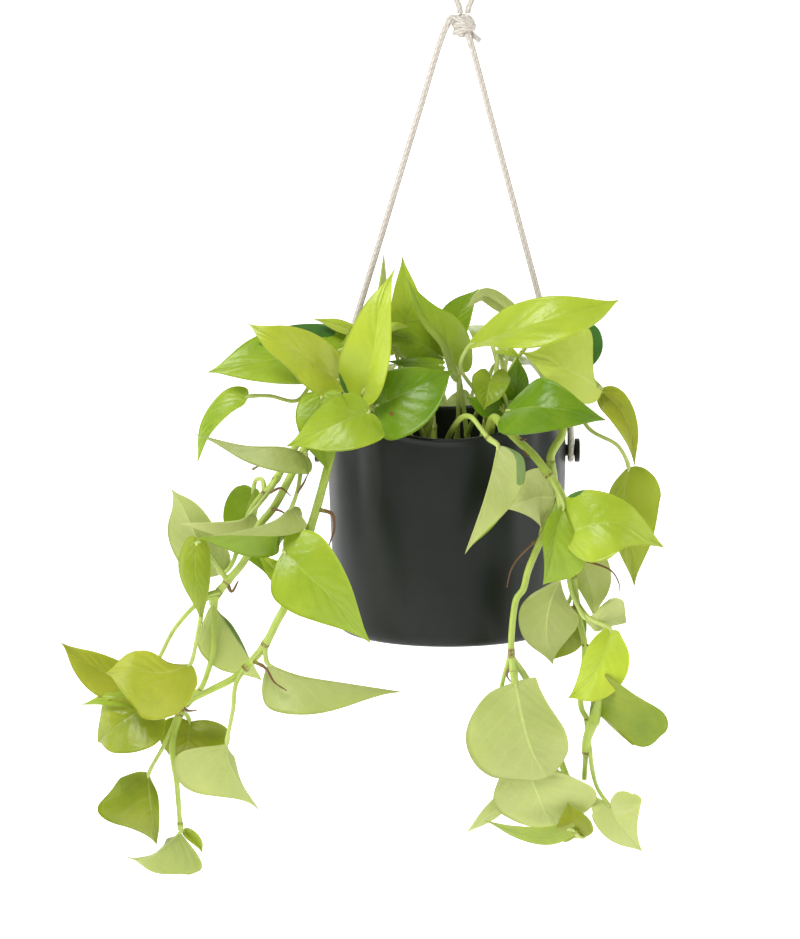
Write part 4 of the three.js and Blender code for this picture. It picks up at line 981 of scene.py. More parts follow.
@dataclass
class Hanger:
    """The two ropes, the knot that gathers them, and the hanging eye above it.

    Attributes:
        pot: the pot that they hold.
        knot: the middle of the knot.
        knot_size: half sizes of the bundle in it.
        eye_top: level of the inner top of the hanging eye.
        rope_radius: the rope's radius.
        rope_side: distance of the rope in its groove from the pot's axis.
        rope_gap: distance of the rope from the bottom of its groove.
        left_strand: points of the left rope's front strand, from the knot down to the boss.
        right_strand: the same for the right rope.
    """

    pot: Pot
    knot: Point = (12.0, 0.0, 457.0)
    knot_size: Point = (8.5, 6.0, 9.0)
    eye_top: float = 505.0
    rope_radius: float = 2.25
    rope_side: float = 93.7
    rope_gap: float = 0.35
    left_strand: tuple[Point, ...] = (
        (2.6, -3, 463), (-3, -3.4, 452), (-21, -4, 394), (-45, -4.8, 315),
        (-68, -5.6, 240), (-85.2, -6.3, 184), (-91.6, -6.6, 163),
    )
    right_strand: tuple[Point, ...] = (
        (16.2, -3.1, 447.2), (19, -3.4, 438), (33, -4, 386), (51, -4.8, 320),
        (69.5, -5.6, 252), (87, -6.3, 186), (92.2, -6.6, 163),
    )

    def route(self, strand: tuple[Point, ...], side: int) -> list[Point]:
        """The points of one rope: down the front strand, round the boss, and up the mirrored rear strand.

        Args:
            strand: the points of its front strand.
            side: -1 for the left, 1 for the right.

        Returns:
            The points of the whole route.
        """
        across, boss = side * self.rope_side, self.pot.boss_height
        radius = self.pot.boss_core + self.rope_radius + self.rope_gap
        turns = [math.radians(t) for t in (0, 30, 60, 90)]
        bend = [(across, -radius * math.cos(t), boss - radius * math.sin(t)) for t in turns]
        front = [*strand, (across, -radius, boss + 12), *bend]
        return front + [(x, -y, z) for x, y, z in front[-2::-1]]

    def eye_route(self) -> list[Point]:
        """The points of the hanging eye, from one foot on the knot over the top to the other."""
        foot = self.knot[2] + self.knot_size[2] + 0.1
        top = self.eye_top
        half = [
            (-2.9, foot), (-3.4, foot + 4), (-7, foot + 13),
            (-9.5, foot + 24), (-8, top - 4.4), (-4.4, top + 0.6),
        ]
        loop = [*half, (0, top + self.rope_radius), *[(-x, z) for x, z in half[::-1]]]
        return [(x + self.knot[0], 0.0, z) for x, z in loop]

    def turn(self, tilt: float, height: float) -> list[Point]:
        """The points of one turn of rope round the bundle: an ellipse, tilted sideways.

        Args:
            tilt: its tilt in radians.
            height: its height over the middle of the knot.

        Returns:
            The points from its start round to its end.
        """
        angle = np.linspace(0, 2 * np.pi, 13)
        wide = self.knot_size[0] - 1.6
        deep = 0.74 * wide
        x, y = wide * np.cos(angle), deep * np.sin(angle)
        rise = height + 0.9 * angle / np.pi - 0.9
        places = np.stack([x * math.cos(tilt), y, rise - x * math.sin(tilt)], -1) + self.knot
        return [tuple(place) for place in places.tolist()]

    def build_knot(self, finish: bpy.types.Material) -> bpy.types.Object:
        """The knot: a fibrous bundle, braided turns round it, and the short end at its lower right.

        Args:
            finish: its material.

        Returns:
            The object.
        """
        tall, around = np.linspace(-1.35, 1.35, 26), np.linspace(0, 2 * np.pi, 40, endpoint=False)[None]
        strand = 1 + 0.08 * np.cos(5 * around + 2.5 * tall[:, None])
        ball = ball_rings(tall, 40) * strand[..., None] * np.array(self.knot_size) * 0.95
        centre = np.array(self.knot)
        level = 0 * strand
        run = 4 * tall[:, None] + level
        tint = np.stack([run, np.cos(around) + level, np.sin(around) + level, level], -1)
        parts = [closed_rings(ball + centre, tint, centre - [0, 0, 8.4], centre + [0, 0, 8.4])]
        for tilt, height in ((0.45, 2.6), (-0.3, -3.4), (0.05, 0.2)):
            parts.append(cord_surface(self.turn(tilt, height), self.rope_radius))
        end = [(3.8, 0, -4.5), (8, -0.4, -8), (12.2, 0, -11.5)]
        left_in = [(-5, -2.4, 4.4), (-9.4, -3, 6), (-13, -3.3, 0.2)]
        right_in = [(1.5, -2.4, -4), (4.2, -3.1, -9.8), (5.6, -3.3, -15)]
        for points, radius in ((end, 1.9), (left_in, 2.5), (right_in, 2.5)):
            places = [tuple(np.add(p, centre).tolist()) for p in points]
            parts.append(cord_surface(places, radius))
        return add_piece("gathering_knot", Surface.joined(parts), [finish], ["rope_knot"])

    def build(self) -> None:
        """Makes the knot, both ropes and the eye."""
        finish = RopeFinish().build()
        knot = self.build_knot(finish)
        left, right = self.route(self.left_strand, -1), self.route(self.right_strand, 1)
        Rope("left_rope", "rope_left", left, Lay.TAUT, self.rope_radius).build(finish, knot)
        Rope("right_rope", "rope_right", right, Lay.TAUT, self.rope_radius).build(finish, knot)
        Rope("hanging_eye", "rope_eye", self.eye_route(), Lay.HANGING, self.rope_radius).build(finish, knot)


# The plant


@dataclass(frozen=True)
class Patch:
    """An oval area of a blade.

    Attributes:
        along: its middle's share along the midrib.
        across: how far out its middle lies, from -1 at the left margin to 1.
        long: its half size along the midrib.
        wide: its half size across.
    """

    along: float
    across: float
    long: float
    wide: float

    def cover(self, along: Array, across: Array) -> Array:
        """How much a place belongs to the area: 1 inside, falling softly to 0 outside.

        Args:
            along: shares along the midrib.
            across: how far out the places lie.

        Returns:
            One value for each place.
        """
        away = np.hypot((along - self.along) / self.long, (across - self.across) / self.wide)
        return 1 - smooth(0.6, 1.3, away)


@dataclass(frozen=True)
class Look:
    """A leaf's own looks.

    Attributes:
        tone: from 0 for deep to 1 for bright; besides its own colour, painted shade on leaves in shadow and
        painted light on backlit ones.
        greens: its dark green sectors.
        browns: its withered places.
        pale: how much its upper face looks like its underside.
        olive: how far its green leans to olive.
    """

    tone: float = 0.55
    greens: tuple[Patch, ...] = ()
    browns: tuple[Patch, ...] = ()
    pale: float = 0.0
    olive: float = 0.0


BLISTERS = 8  # side veins between which a blade is raised, for each half
SWEEP = 0.34  # how far the side veins run towards the tip on their way to the margin
HALF_BLADE = 0.34  # half the thickness of a blade


class Foot(Enum):
    """Half outline of a blade, as pairs of the share along the midrib and of the half width."""

    ROUND = (
        (0, 0), (0.015, 0.2), (0.06, 0.46), (0.13, 0.76), (0.21, 0.95), (0.32, 1),
        (0.49, 0.89), (0.66, 0.64), (0.8, 0.34), (0.91, 0.12), (1, 0),
    )
    HEART = (
        (0, 0), (-0.06, 0.2), (-0.085, 0.46), (-0.03, 0.76), (0.11, 0.96), (0.28, 1),
        (0.47, 0.89), (0.65, 0.64), (0.8, 0.34), (0.91, 0.12), (1, 0),
    )


@dataclass(frozen=True)
class Leaf:
    """A blade on its stalk.

    Attributes:
        name: its name.
        stalk: points from the stem to the blade.
        midrib: points from the blade's foot to its tip.
        facing: the way that its upper face looks.
        width: the left and the right half's width.
        fold: how far each half rises from the midrib, in degrees.
        curl: how far each half bends further on its way out, in degrees.
        lobe: how heart-shaped its foot is.
        peak: the share of the midrib where it is widest.
        full: under 1 for a rounder margin.
    """

    name: str
    stalk: list[Point]
    midrib: list[Point]
    facing: Point
    width: Pair
    fold: Pair = (12, 12)
    curl: Pair = (-12, -12)
    lobe: float | Pair = 0.85
    peak: float | Pair = 0.29
    full: float | Pair = 1.0

    def outline(self, half: int, shares: Array) -> tuple[Array, Array]:
        """The margin of a half: share along the midrib, which is negative on a lobe, and share of the width.

        Formula: the curve through the mix of both foot outlines. A negative share is stretched by the lobe,
        any other is raised to the power that puts the widest place at the peak, and the width to the power of
        full.

        Args:
            half: 0 for the left half, 1 for the right.
            shares: places along the outline from foot to tip.

        Returns:
            Both shares for each place.
        """
        lobe, peak, full = (both(value)[half] for value in (self.lobe, self.peak, self.full))
        heart = min(lobe, 1)
        blend = np.array(Foot.ROUND.value) * (1 - heart) + np.array(Foot.HEART.value) * heart
        line = curve_through(np.pad(blend, ((0, 0), (0, 1))), shares)
        power = math.log(peak) / math.log(0.32 - 0.04 * heart)
        along = np.where(line[:, 0] < 0, line[:, 0] * max(lobe, 1), np.abs(line[:, 0]) ** power)
        return along, np.maximum(line[:, 1], 0) ** full

    def middle(self, shares: Array, across: Array) -> tuple[Array, Array, Array]:
        """The middle surface of the blade.

        Formula: a row runs at a fixed share of the way from the midrib to the margin. Each half is an arc
        across the blade, which leaves the midrib at the fold and bends evenly by the curl over its width.

        Args:
            shares: places along the outline from foot to tip.
            across: rows from -1, the left margin, to 1.

        Returns:
            The places on a grid of rows and shares, the share along the midrib, and the way out from it.
        """
        left, right = self.outline(0, shares), self.outline(1, shares)
        row = across[:, None]
        is_left = row < 0
        edge_along, edge_wide = (np.where(is_left, a, b) for a, b in zip(left, right))
        bends = (self.width, np.radians(self.fold), np.radians(self.curl))
        width, fold, curl = (np.where(is_left, *pair) for pair in bends)
        bend = np.where(np.abs(curl) < 2e-4, 2e-4, curl) / width
        out = np.abs(row)
        along = shares**2 * (1 - out) + edge_along * out
        reach = width * edge_wide * out
        place = np.clip(along, 0, 1)
        rib = curve_through(self.midrib, place)
        ahead, behind = np.minimum(place + 1e-3, 1), np.maximum(place - 1e-3, 0)
        tangent = unit(curve_through(self.midrib, ahead) - curve_through(self.midrib, behind))
        length = line_length(np.array(self.midrib, float))
        rib = rib + tangent * (np.minimum(along, 0) * length)[..., None]
        facing = np.array(self.facing, float)
        face = unit(facing - tangent * (tangent @ facing)[..., None])
        side = np.cross(tangent, face)
        sideways = (np.sin(fold + bend * reach) - np.sin(fold)) / bend
        raised = (np.cos(fold) - np.cos(fold + bend * reach)) / bend
        places = rib + side * (np.sign(row) * sideways)[..., None] + face * raised[..., None]
        return places, along, reach

    def blade(self, look: Look, finish: int) -> Surface:
        """The closed blade: both faces of the middle surface, with ribs, soft blisters and a rippled margin.

        Formula: each face lies half the thickness from the middle surface along its direction, and the
        thickness thins out at the margin. The midrib is a groove above and a ridge below. Blisters between
        the side veins, and a ripple that grows with the power 2.2 of the way out, move both faces alike.

        Args:
            look: its colours.
            finish: the number of its finish.

        Returns:
            Its surface.
        """
        size = max(self.width)
        columns, rows = (46, 11) if size > 16 else (34, 8)
        shares, across = np.linspace(0, 1, columns + 1), np.linspace(-1, 1, 2 * rows + 1)
        places, along, reach = self.middle(shares, across)
        row, out = across[:, None] + 0 * along, np.abs(across)[:, None]
        index = np.arange(places[..., 0].size).reshape(along.shape)
        index[:, 0], index[:, -1] = index[0, 0], index[0, -1]
        uv = np.stack([along, (row + 1) / 2], -1)
        top = grid_cells(index, uv)
        flat = places.reshape(-1, 3)
        normal = vertex_normals(flat, top[0])
        seed = sum(ord(letter) * (i + 3) for i, letter in enumerate(self.name))
        phase = np.random.default_rng(seed).uniform(0, 1, 4)
        body = np.sin(np.pi * shares)[None] ** 0.6
        turns = (1.6 + 1.2 * phase[2]) * shares + np.where(row < 0, phase[0], phase[1])
        ripple = np.sin(2 * np.pi * turns) * out**2.2 * body * min(1.3, 0.045 * size)
        swell = out * (1 - out) * body * 0.64 * min(1, size / 22)
        veins = np.cos(2 * np.pi * BLISTERS * (along - SWEEP * out)) * swell
        groove = np.exp(-((reach / 1.2) ** 2)) * (1 - 0.8 * shares) * np.minimum(1, shares * 12)
        half = HALF_BLADE * (1 - 0.62 * out**6)
        above, below = (ripple + veins + half - 0.3 * groove), (ripple + veins - half - 0.55 * groove)
        shell = np.concatenate([flat + normal * above.reshape(-1, 1), flat + normal * below.reshape(-1, 1)])
        under = grid_cells(index + len(flat), uv, turned=True)
        rims = []
        for edge in (0, -1):
            strip = np.stack([index[edge], index[edge] + len(flat)])
            rims.append(grid_cells(strip, np.stack([uv[edge], uv[edge]]), turned=edge == -1))
        green = sum((patch.cover(along, row) for patch in look.greens), 0 * along - look.olive)
        brown = sum((patch.cover(along, row) for patch in look.browns), 0 * along)
        tone = look.tone + 0.12 * (phase[3] - 0.5) + 0 * along
        sides = (look.pale, 1.0)
        tints = [np.stack([side + 0 * along, green, tone, brown], -1).reshape(-1, 4) for side in sides]
        return Surface.of(shell, [top, under, *rims], np.concatenate(tints), finish)

    def stalk_rod(self, finish: int) -> Surface:
        """The stalk: a tapering rod that swells at both ends and runs on under the blade's foot.

        Args:
            finish: the number of its finish.

        Returns:
            Its closed surface.
        """
        run_on = curve_through(self.midrib, np.array([0.0, 0.05]))
        line = even_line(np.vstack([np.array(self.stalk, float), run_on]), 2.2, Knots.CENTRIPETAL)
        run = np.linspace(0, line_length(line), len(line))
        share = run / run[-1]
        thick = 1.75 - 0.35 * share + 0.6 * np.exp(-run / 6) + 0.3 * bell(run, run[-1] - 6, 3.5)
        thick = thick * (1 - 0.35 * smooth(run[-1] - 4, run[-1], run))
        pale = 0.35 + 0.55 * share
        tint = np.stack([0.15 * np.exp(-run / 9), 0 * run, pale + 0 * run, 0.35 * np.exp(-run / 2.5)], -1)
        return tube(line, thick, 10, tint, finish)


@dataclass(frozen=True)
class Stem:
    """A stem or a length of vine.

    Attributes:
        radii: its radius at its foot and at its end.
        points: the points that it runs through.
    """

    radii: Pair
    points: list[Point]

    def rod(self, joints: Array, finish: int) -> Surface:
        """The stem: a tapering rod with a swelling and a brown scar at each joint.

        Args:
            joints: places where stalks leave it.
            finish: the number of its finish.

        Returns:
            Its closed surface.
        """
        line = even_line(self.points, 2.0, Knots.UNIFORM)
        share = np.linspace(0, 1, len(line))
        near = np.linalg.norm(line[:, None] - joints[None], axis=-1).min(axis=1)
        swell = 1.06 + 0.22 * np.exp(-((near / 3.2) ** 2)) + 0.03 * unrest(line, 26.0, len(line))
        radius = (self.radii[0] * (1 - share) + self.radii[1] * share) * swell
        angle = np.linspace(0, 2 * np.pi, 12, endpoint=False)[None]
        ribbed = radius[:, None] * (1 + 0.035 * np.cos(3 * angle))
        scar = 0.62 * np.exp(-(((near - 1.5) / 1.4) ** 2))
        tint = np.stack([0.1 + 0 * share, 0 * share, 0.15 + 0.3 * share, scar], -1)
        return tube(line, ribbed, 12, tint, finish)


@dataclass(frozen=True)
class AerialRoot:
    """A short brown root that leaves a joint of a vine and tapers to a point.

    Attributes:
        node: the leafy stem that it grows on.
        points: the points that it runs through.
        radius: its radius at the joint.
    """

    node: str
    points: list[Point]
    radius: float = 1.3

    def rod(self, finish: int) -> Surface:
        """The root: a thin tapering rod, browner towards its tip.

        Args:
            finish: the number of its finish.

        Returns:
            Its closed surface.
        """
        line = even_line(self.points, 1.2, Knots.CENTRIPETAL)
        share = np.linspace(0, 1, len(line))
        radius = self.radius * (1.15 - 0.85 * share) * (1 + 0.12 * unrest(line, 5.0, 9))
        tint = np.stack([0.4 + 0 * share, 0 * share, 0 * share, 0.55 + 0.45 * share], -1)
        return tube(line, radius, 8, tint, finish)


# Every leafy stem and vine, with the first point of a stem at its foot in the soil
PLANT: dict[str, list[Stem | Leaf]] = {
    "stem_01": [
        Stem((2.6, 2.0), [(-36, -40, 98), (-37, -42, 128), (-38, -44, 152)]),
        Leaf("left_01", [(-38, -44, 150), (-46, -54, 182), (-57, -70, 196)],
            [(-63, -84, 191), (-55, -92, 221), (-50, -88, 255), (-39, -74, 284)],
            facing=(-0.15, -1, 0.25), width=(24, 17), fold=(5, 35),
            peak=(0.26, 0.28), full=(1.25, 1.1)),
        Leaf("left_02", [(-38, -44, 150), (-46, -38, 195)],
            [(-48, -28, 231), (-46, -24, 261), (-48, -16, 288)],
            facing=(-1, -0.1, 0.2), width=(9, 9), fold=(52, 52)),
    ],
    "stem_02": [
        Stem((2.6, 2.0), [(-52, -22, 98), (-54, -24, 128), (-57, -27, 152)]),
        Leaf("left_03", [(-57, -27, 150), (-68, -44, 188), (-74, -62, 202)],
            [(-78, -73, 197), (-107, -90, 221), (-129, -99, 235), (-147, -93, 244)],
            facing=(-0.1, -0.75, 0.65), width=(24, 20),
            lobe=0.35, peak=(0.26, 0.26), full=(1.1, 1.2)),
        Leaf("left_04", [(-57, -27, 150), (-67, -34, 200)],
            [(-77, -48, 219), (-110, -62, 216), (-146, -70, 212), (-178, -70, 205)],
            facing=(-0.1, -0.75, 0.65), width=(30, 28)),
    ],
    "stem_03": [
        Stem((2.4, 1.8), [(-26, -22, 98), (-27, -24, 128), (-28, -26, 152)]),
        Leaf("left_05", [(-28, -26, 150), (-34, -25, 195)],
            [(-42, -38, 223), (-61, -50, 230), (-80, -56, 224)],
            facing=(0, -0.8, 0.6), width=(14, 16)),
        Leaf("left_06", [(-28, -26, 150), (-46, -28, 200)],
            [(-64, -36, 229), (-83, -44, 237), (-100, -46, 242)],
            facing=(0, -0.6, 0.8), width=(8, 7)),
    ],
    "stem_04": [
        Stem((2.6, 2.0), [(-46, -58, 98), (-48, -61, 128), (-50, -64, 152)]),
        Leaf("left_07", [(-50, -64, 150), (-54, -63, 174), (-64, -76, 182), (-84, -93, 182)],
            [(-93, -99, 191), (-92, -105, 174), (-91, -108, 155), (-89, -110, 137)],
            facing=(-0.2, -0.95, 0.15), width=(20, 20)),
        Leaf("left_08", [(-50, -64, 150), (-53, -62, 175), (-64, -76, 184), (-66, -92, 183)],
            [(-58, -98, 179), (-76, -114, 175), (-98, -114, 165), (-119, -106, 155)],
            facing=(0, -0.8, 0.6), width=(26, 20), fold=(5, 25),
            lobe=(0.59, 0.47), peak=(0.24, 0.28)),
    ],
    "stem_05": [
        Stem((2.2, 1.5), [(-60, -8, 98), (-62, -10, 128), (-64, -14, 158)]),
        Leaf("left_10", [(-64, -14, 156), (-74, -26, 192), (-94, -48, 204), (-112, -62, 183),
            (-132, -67, 187)],
            [(-148, -70, 187), (-162, -75, 179), (-177, -77, 161), (-186, -72, 138)],
            facing=(-0.4, -0.8, 0.4), width=(7, 15), fold=(30, 5), lobe=(0, 0.71)),
    ],
    "stem_06": [
        Stem((2.6, 2.0), [(-14, -10, 98), (-15, -11, 128), (-16, -12, 152)]),
        Leaf("right_01", [(-16, -12, 150), (-23, -13, 205)],
            [(-30, -16, 226), (-31, -22, 253), (-34, -16, 286)],
            facing=(0, -0.95, 0.3), width=(13, 13)),
        Leaf("right_04", [(-16, -12, 150), (-10, -24, 190)],
            [(-5, -44, 213), (-24, -54, 226), (-54, -58, 235)],
            facing=(0, -0.85, 0.5), width=(22, 20)),
        Leaf("right_04_b", [(-16, -12, 150), (-26, -36, 200)],
            [(-50, -60, 234), (-39, -62, 238), (-28, -58, 238)],
            facing=(0, -0.6, 0.8), width=(5, 5)),
    ],
    "stem_07": [
        Stem((2.6, 2.0), [(6, -30, 98), (6, -31, 128), (7, -33, 152)]),
        Leaf("right_02", [(7, -33, 150), (8, -40, 177)],
            [(7, -44, 203), (-2, -56, 227), (-17, -60, 246), (-32, -50, 274)],
            facing=(0.2, -0.85, 0.5), width=(15, 19), fold=(40, 10)),
    ],
    "stem_08": [
        Stem((2.6, 2.0), [(-14, -48, 98), (-15, -50, 128), (-16, -53, 152)]),
        Leaf("right_05", [(-16, -53, 150), (-30, -64, 178)],
            [(-53, -76, 181), (-36, -86, 190), (-15, -86, 200), (3, -76, 207)],
            facing=(0, -0.92, 0.4), width=(20, 32)),
        Leaf("right_06", [(-16, -53, 150), (-8, -62, 190)],
            [(-5, -68, 210), (-25, -70, 211), (-46, -66, 213)],
            facing=(0, -0.8, 0.6), width=(6, 6)),
    ],
    "stem_09": [
        Stem((2.6, 2.0), [(16, -8, 98), (16, -8, 128), (15, -9, 152)]),
        Leaf("right_07", [(15, -9, 150), (8, -9, 200)],
            [(2, 0, 223), (10, -4, 242), (24, 0, 260)],
            facing=(-0.1, -0.95, 0.3), width=(14, 11)),
        Leaf("right_20", [(15, -9, 150), (24, -26, 172), (34, -42, 182)],
            [(39, -52, 174), (27, -58, 177), (13, -56, 185)],
            facing=(0, -0.8, 0.6), width=(9, 10)),
    ],
    "stem_10": [
        Stem((2.8, 2.2), [(32, -24, 98), (32, -26, 128), (32, -28, 152)]),
        Leaf("right_08", [(32, -28, 150), (38, -16, 210)],
            [(47, -8, 244), (28, -14, 256), (14, -18, 247)],
            facing=(0, 0.8, 0.6), width=(8, 8)),
        Leaf("right_09", [(32, -28, 150), (24, -46, 182), (9, -62, 209)],
            [(16, -62, 224), (45, -80, 236), (82, -86, 249), (126, -72, 259)],
            facing=(0.05, -0.7, 0.7), width=(23, 24), lobe=0.24, peak=(0.42, 0.62), full=(1.1, 1)),
        Leaf("right_21", [(32, -28, 150), (50, -16, 205), (84, -34, 238)],
            [(104, -40, 234), (107, -44, 218), (102, -42, 200)],
            facing=(0.1, -0.95, 0.2), width=(9, 11)),
    ],
    "stem_11": [
        Stem((2.8, 2.2), [(46, -38, 98), (47, -40, 128), (48, -43, 152)]),
        Leaf("right_10", [(48, -43, 150), (58, -56, 182), (76, -62, 201), (98, -68, 205)],
            [(113, -72, 193), (93, -85, 206), (73, -90, 216), (51, -83, 223)],
            facing=(0.1, -0.95, 0.1), width=(18, 34), fold=(5, -2),
            curl=(-10, 14), lobe=(0.59, 0), peak=(0.3, 0.47), full=(1, 2.6)),
        Leaf("right_18", [(48, -43, 150), (42, -52, 185)],
            [(32, -58, 200), (29, -68, 190), (26, -72, 177)],
            facing=(0.1, -0.7, 0.7), width=(17, 14), fold=(35, 20), lobe=(2.5, 1.76)),
        Leaf("right_22", [(48, -43, 150), (47, -32, 172), (43, -29, 202)],
            [(38, -30, 217), (46, -34, 216), (56, -32, 210)],
            facing=(0, -0.7, 0.7), width=(5, 5)),
    ],
    "stem_12": [
        Stem((2.8, 2.2), [(60, -12, 98), (61, -13, 128), (63, -16, 152)]),
        Leaf("right_11", [(63, -16, 150), (80, -30, 200), (100, -48, 206)],
            [(113, -60, 190), (127, -66, 178), (136, -66, 158), (139, -58, 133)],
            facing=(-0.3, -0.9, 0.3), width=(11, 12), fold=(30, 30), lobe=0.24),
        Leaf("right_12", [(63, -16, 150), (74, -20, 186), (88, -28, 192), (105, -46, 160), (127, -50, 147)],
            [(135, -50, 131), (131, -54, 107), (135, -56, 73), (140, -52, 41)],
            facing=(0.1, -0.95, 0.2), width=(28, 12), fold=(10, 10),
            lobe=(0.47, 0), peak=(0.3, 0.4)),
    ],
    "stem_13": [
        Stem((2.6, 2.0), [(36, -54, 98), (37, -57, 128), (39, -60, 152)]),
        Leaf("right_17", [(39, -60, 150), (46, -72, 168)],
            [(43, -84, 178), (63, -106, 184), (88, -112, 182), (115, -103, 174)],
            facing=(0, -0.75, 0.65), width=(25, 28), lobe=0.24),
        Leaf("right_19", [(39, -60, 150), (50, -52, 176)],
            [(47, -36, 178), (51, -42, 196), (52, -40, 213)],
            facing=(0.1, -0.9, 0.4), width=(11, 11)),
    ],
    "stem_14": [
        Stem((2.6, 2.0), [(-30, 20, 98), (-31, 22, 128), (-33, 25, 152)]),
        Leaf("back_01", [(-33, 25, 150), (-45, 50, 186)],
            [(-54, 68, 192), (-62, 92, 186), (-68, 112, 166), (-72, 124, 138)],
            facing=(-0.2, 0.8, 0.6), width=(25, 24)),
        Leaf("back_02", [(-33, 25, 150), (-34, 40, 196)],
            [(-34, 52, 208), (-34, 74, 216), (-38, 98, 212), (-44, 120, 196)],
            facing=(-0.1, 0.5, 0.85), width=(22, 24)),
    ],
    "stem_15": [
        Stem((2.6, 2.0), [(-8, 26, 98), (-9, 28, 128), (-10, 31, 152)]),
        Leaf("back_03", [(-10, 31, 150), (-12, 50, 190)],
            [(-14, 62, 200), (-15, 84, 204), (-15, 106, 194), (-14, 122, 170)],
            facing=(0.1, 0.7, 0.7), width=(25, 22)),
    ],
    "stem_16": [
        Stem((2.6, 2.0), [(38, 14, 98), (40, 18, 128), (42, 24, 152)]),
        Leaf("back_04", [(42, 24, 150), (38, 32, 200)],
            [(35, 40, 212), (34, 58, 220), (37, 82, 220), (42, 102, 208)],
            facing=(0.1, 0.5, 0.85), width=(20, 22)),
        Leaf("back_05", [(42, 24, 150), (50, 42, 186)],
            [(56, 56, 196), (66, 74, 196), (78, 94, 184), (86, 108, 160)],
            facing=(0.5, 0.6, 0.7), width=(24, 26)),
        Leaf("back_06", [(42, 24, 150), (46, 28, 205)],
            [(50, 34, 216), (62, 46, 224), (78, 62, 220), (90, 76, 206)],
            facing=(0.3, 0.4, 0.85), width=(19, 21)),
    ],
    "stem_17": [
        Stem((2.8, 2.2), [(-8, 56, 98), (-9, 58, 128), (-11, 62, 152)]),
        Leaf("back_07", [(-11, 62, 150), (-14, 80, 174), (-17, 97, 176)],
            [(-20, 106, 168), (-24, 116, 148), (-26, 122, 120), (-24, 122, 86)],
            facing=(-0.1, 0.97, 0.2), width=(27, 25)),
        Leaf("back_08", [(-11, 62, 150), (-24, 78, 176), (-42, 92, 182)],
            [(-52, 100, 176), (-60, 110, 152), (-62, 116, 122), (-56, 116, 92)],
            facing=(-0.4, 0.9, 0.15), width=(20, 22)),
    ],
    "stem_18": [
        Stem((2.8, 2.2), [(22, 52, 98), (26, 54, 128), (31, 57, 152)]),
        Leaf("back_09", [(31, 57, 150), (35, 72, 188), (43, 92, 191)],
            [(46, 102, 170), (50, 114, 150), (52, 122, 122), (48, 124, 90)],
            facing=(0.35, 0.9, 0.2), width=(25, 26)),
        Leaf("back_10", [(31, 57, 150), (27, 76, 172), (23, 94, 174)],
            [(20, 105, 162), (14, 114, 144), (10, 118, 116), (12, 116, 84)],
            facing=(0.05, 0.97, 0.15), width=(17, 19)),
    ],
    "vine_left_side": [
        Stem((2.8, 2.4), [(-67, -12, 98), (-68, -14, 128), (-70, -17, 158), (-74, -20, 180),
            (-83, -27, 194), (-95, -38, 189), (-104, -52, 165), (-117, -70, 143), (-128, -72, 125),
            (-134, -72, 117), (-145, -74, 104), (-154, -78, 81)]),
        Leaf("left_12", [(-136, -73, 114), (-138, -66, 124), (-143, -60, 123)],
            [(-145, -58, 115), (-151, -54, 93), (-145, -56, 71), (-134, -60, 50)],
            facing=(-0.2, -0.9, 0.3), width=(9, 17), lobe=0.59),
        Leaf("left_13", [(-154, -78, 81), (-159, -80, 66), (-163, -80, 59)],
            [(-169, -76, 55), (-185, -82, 81), (-195, -82, 104), (-205, -76, 119)],
            facing=(0.2, 0.9, 0.3), width=(17, 25), lobe=0.35),
        Leaf("left_14", [(-127, -72, 126), (-130, -80, 121), (-138, -86, 111)],
            [(-146, -80, 101), (-155, -88, 97), (-176, -92, 96), (-199, -90, 95)],
            facing=(0, 0.3, -0.95), width=(10, 13), fold=(60, 65)),
    ],
    "vine_left_outer": [
        Stem((3.2, 2.6), [(-66, -28, 98), (-67, -30, 128), (-68, -33, 154), (-69, -36, 172),
            (-78, -44, 190), (-91, -57, 181), (-99, -70, 160), (-109, -84, 145), (-118, -88, 127),
            (-129, -90, 107), (-141, -92, 92), (-150, -94, 69), (-163, -94, 53), (-170, -92, 44)]),
        Stem((2.3, 1.8), [(-169, -92, 45), (-173, -84, 33), (-174, -86, 1), (-178, -84, -16),
            (-184, -82, -31), (-195, -78, -45)]),
        Leaf("left_11", [(-106, -80, 146)],
            [(-105, -100, 148), (-121, -112, 155), (-150, -110, 156), (-187, -98, 163)],
            facing=(0, 0.3, -0.95), width=(20, 22), fold=(70, 40), peak=(0.3, 0.24), full=(1, 1.2)),
        Leaf("left_15", [(-109, -84, 145), (-109, -90, 134), (-111, -97, 121)],
            [(-116, -100, 108), (-129, -112, 100), (-155, -114, 93), (-187, -106, 87)],
            facing=(0, 0.2, -0.98), width=(31, 19), fold=(80, 30), peak=(0.34, 0.16), full=(1, 1.8)),
        Leaf("left_19", [(-170, -90, 44), (-175, -80, 39)],
            [(-176, -72, 31), (-164, -78, 14), (-150, -80, -6), (-139, -76, -26)],
            facing=(-0.3, 0.9, 0.2), width=(27, 6), fold=(0, 60), lobe=0, peak=(0.42, 0.3)),
        Leaf("left_25", [(-170, -92, 42), (-184, -90, 36), (-202, -90, 17), (-216, -78, -10)],
            [(-230, -70, -31), (-251, -74, -23), (-271, -74, -11), (-289, -70, 2)],
            facing=(0, -0.8, 0.6), width=(21, 14)),
        Leaf("left_26", [(-169, -94, 45), (-179, -100, 42), (-184, -108, 19)],
            [(-190, -112, -6), (-208, -122, -10), (-230, -122, -9), (-253, -108, -14)],
            facing=(-0.1, -0.85, 0.5), width=(36, 15), fold=(-19, 20),
            curl=(-18, -10), lobe=(0.52, 0), peak=(0.49, 0.6), full=(1.3, 1)),
        Leaf("left_27", [(-188, -80, -38), (-203, -84, -38)],
            [(-225, -86, -39), (-250, -90, -37), (-273, -86, -42)],
            facing=(0, -0.5, 0.85), width=(10, 8)),
        Leaf("left_28", [(-185, -82, -33), (-203, -86, -36)],
            [(-217, -90, -39), (-233, -98, -47), (-249, -98, -58), (-261, -84, -71)],
            facing=(-0.1, -0.85, 0.5), width=(30, 20), lobe=0.35, peak=(0.38, 0.6)),
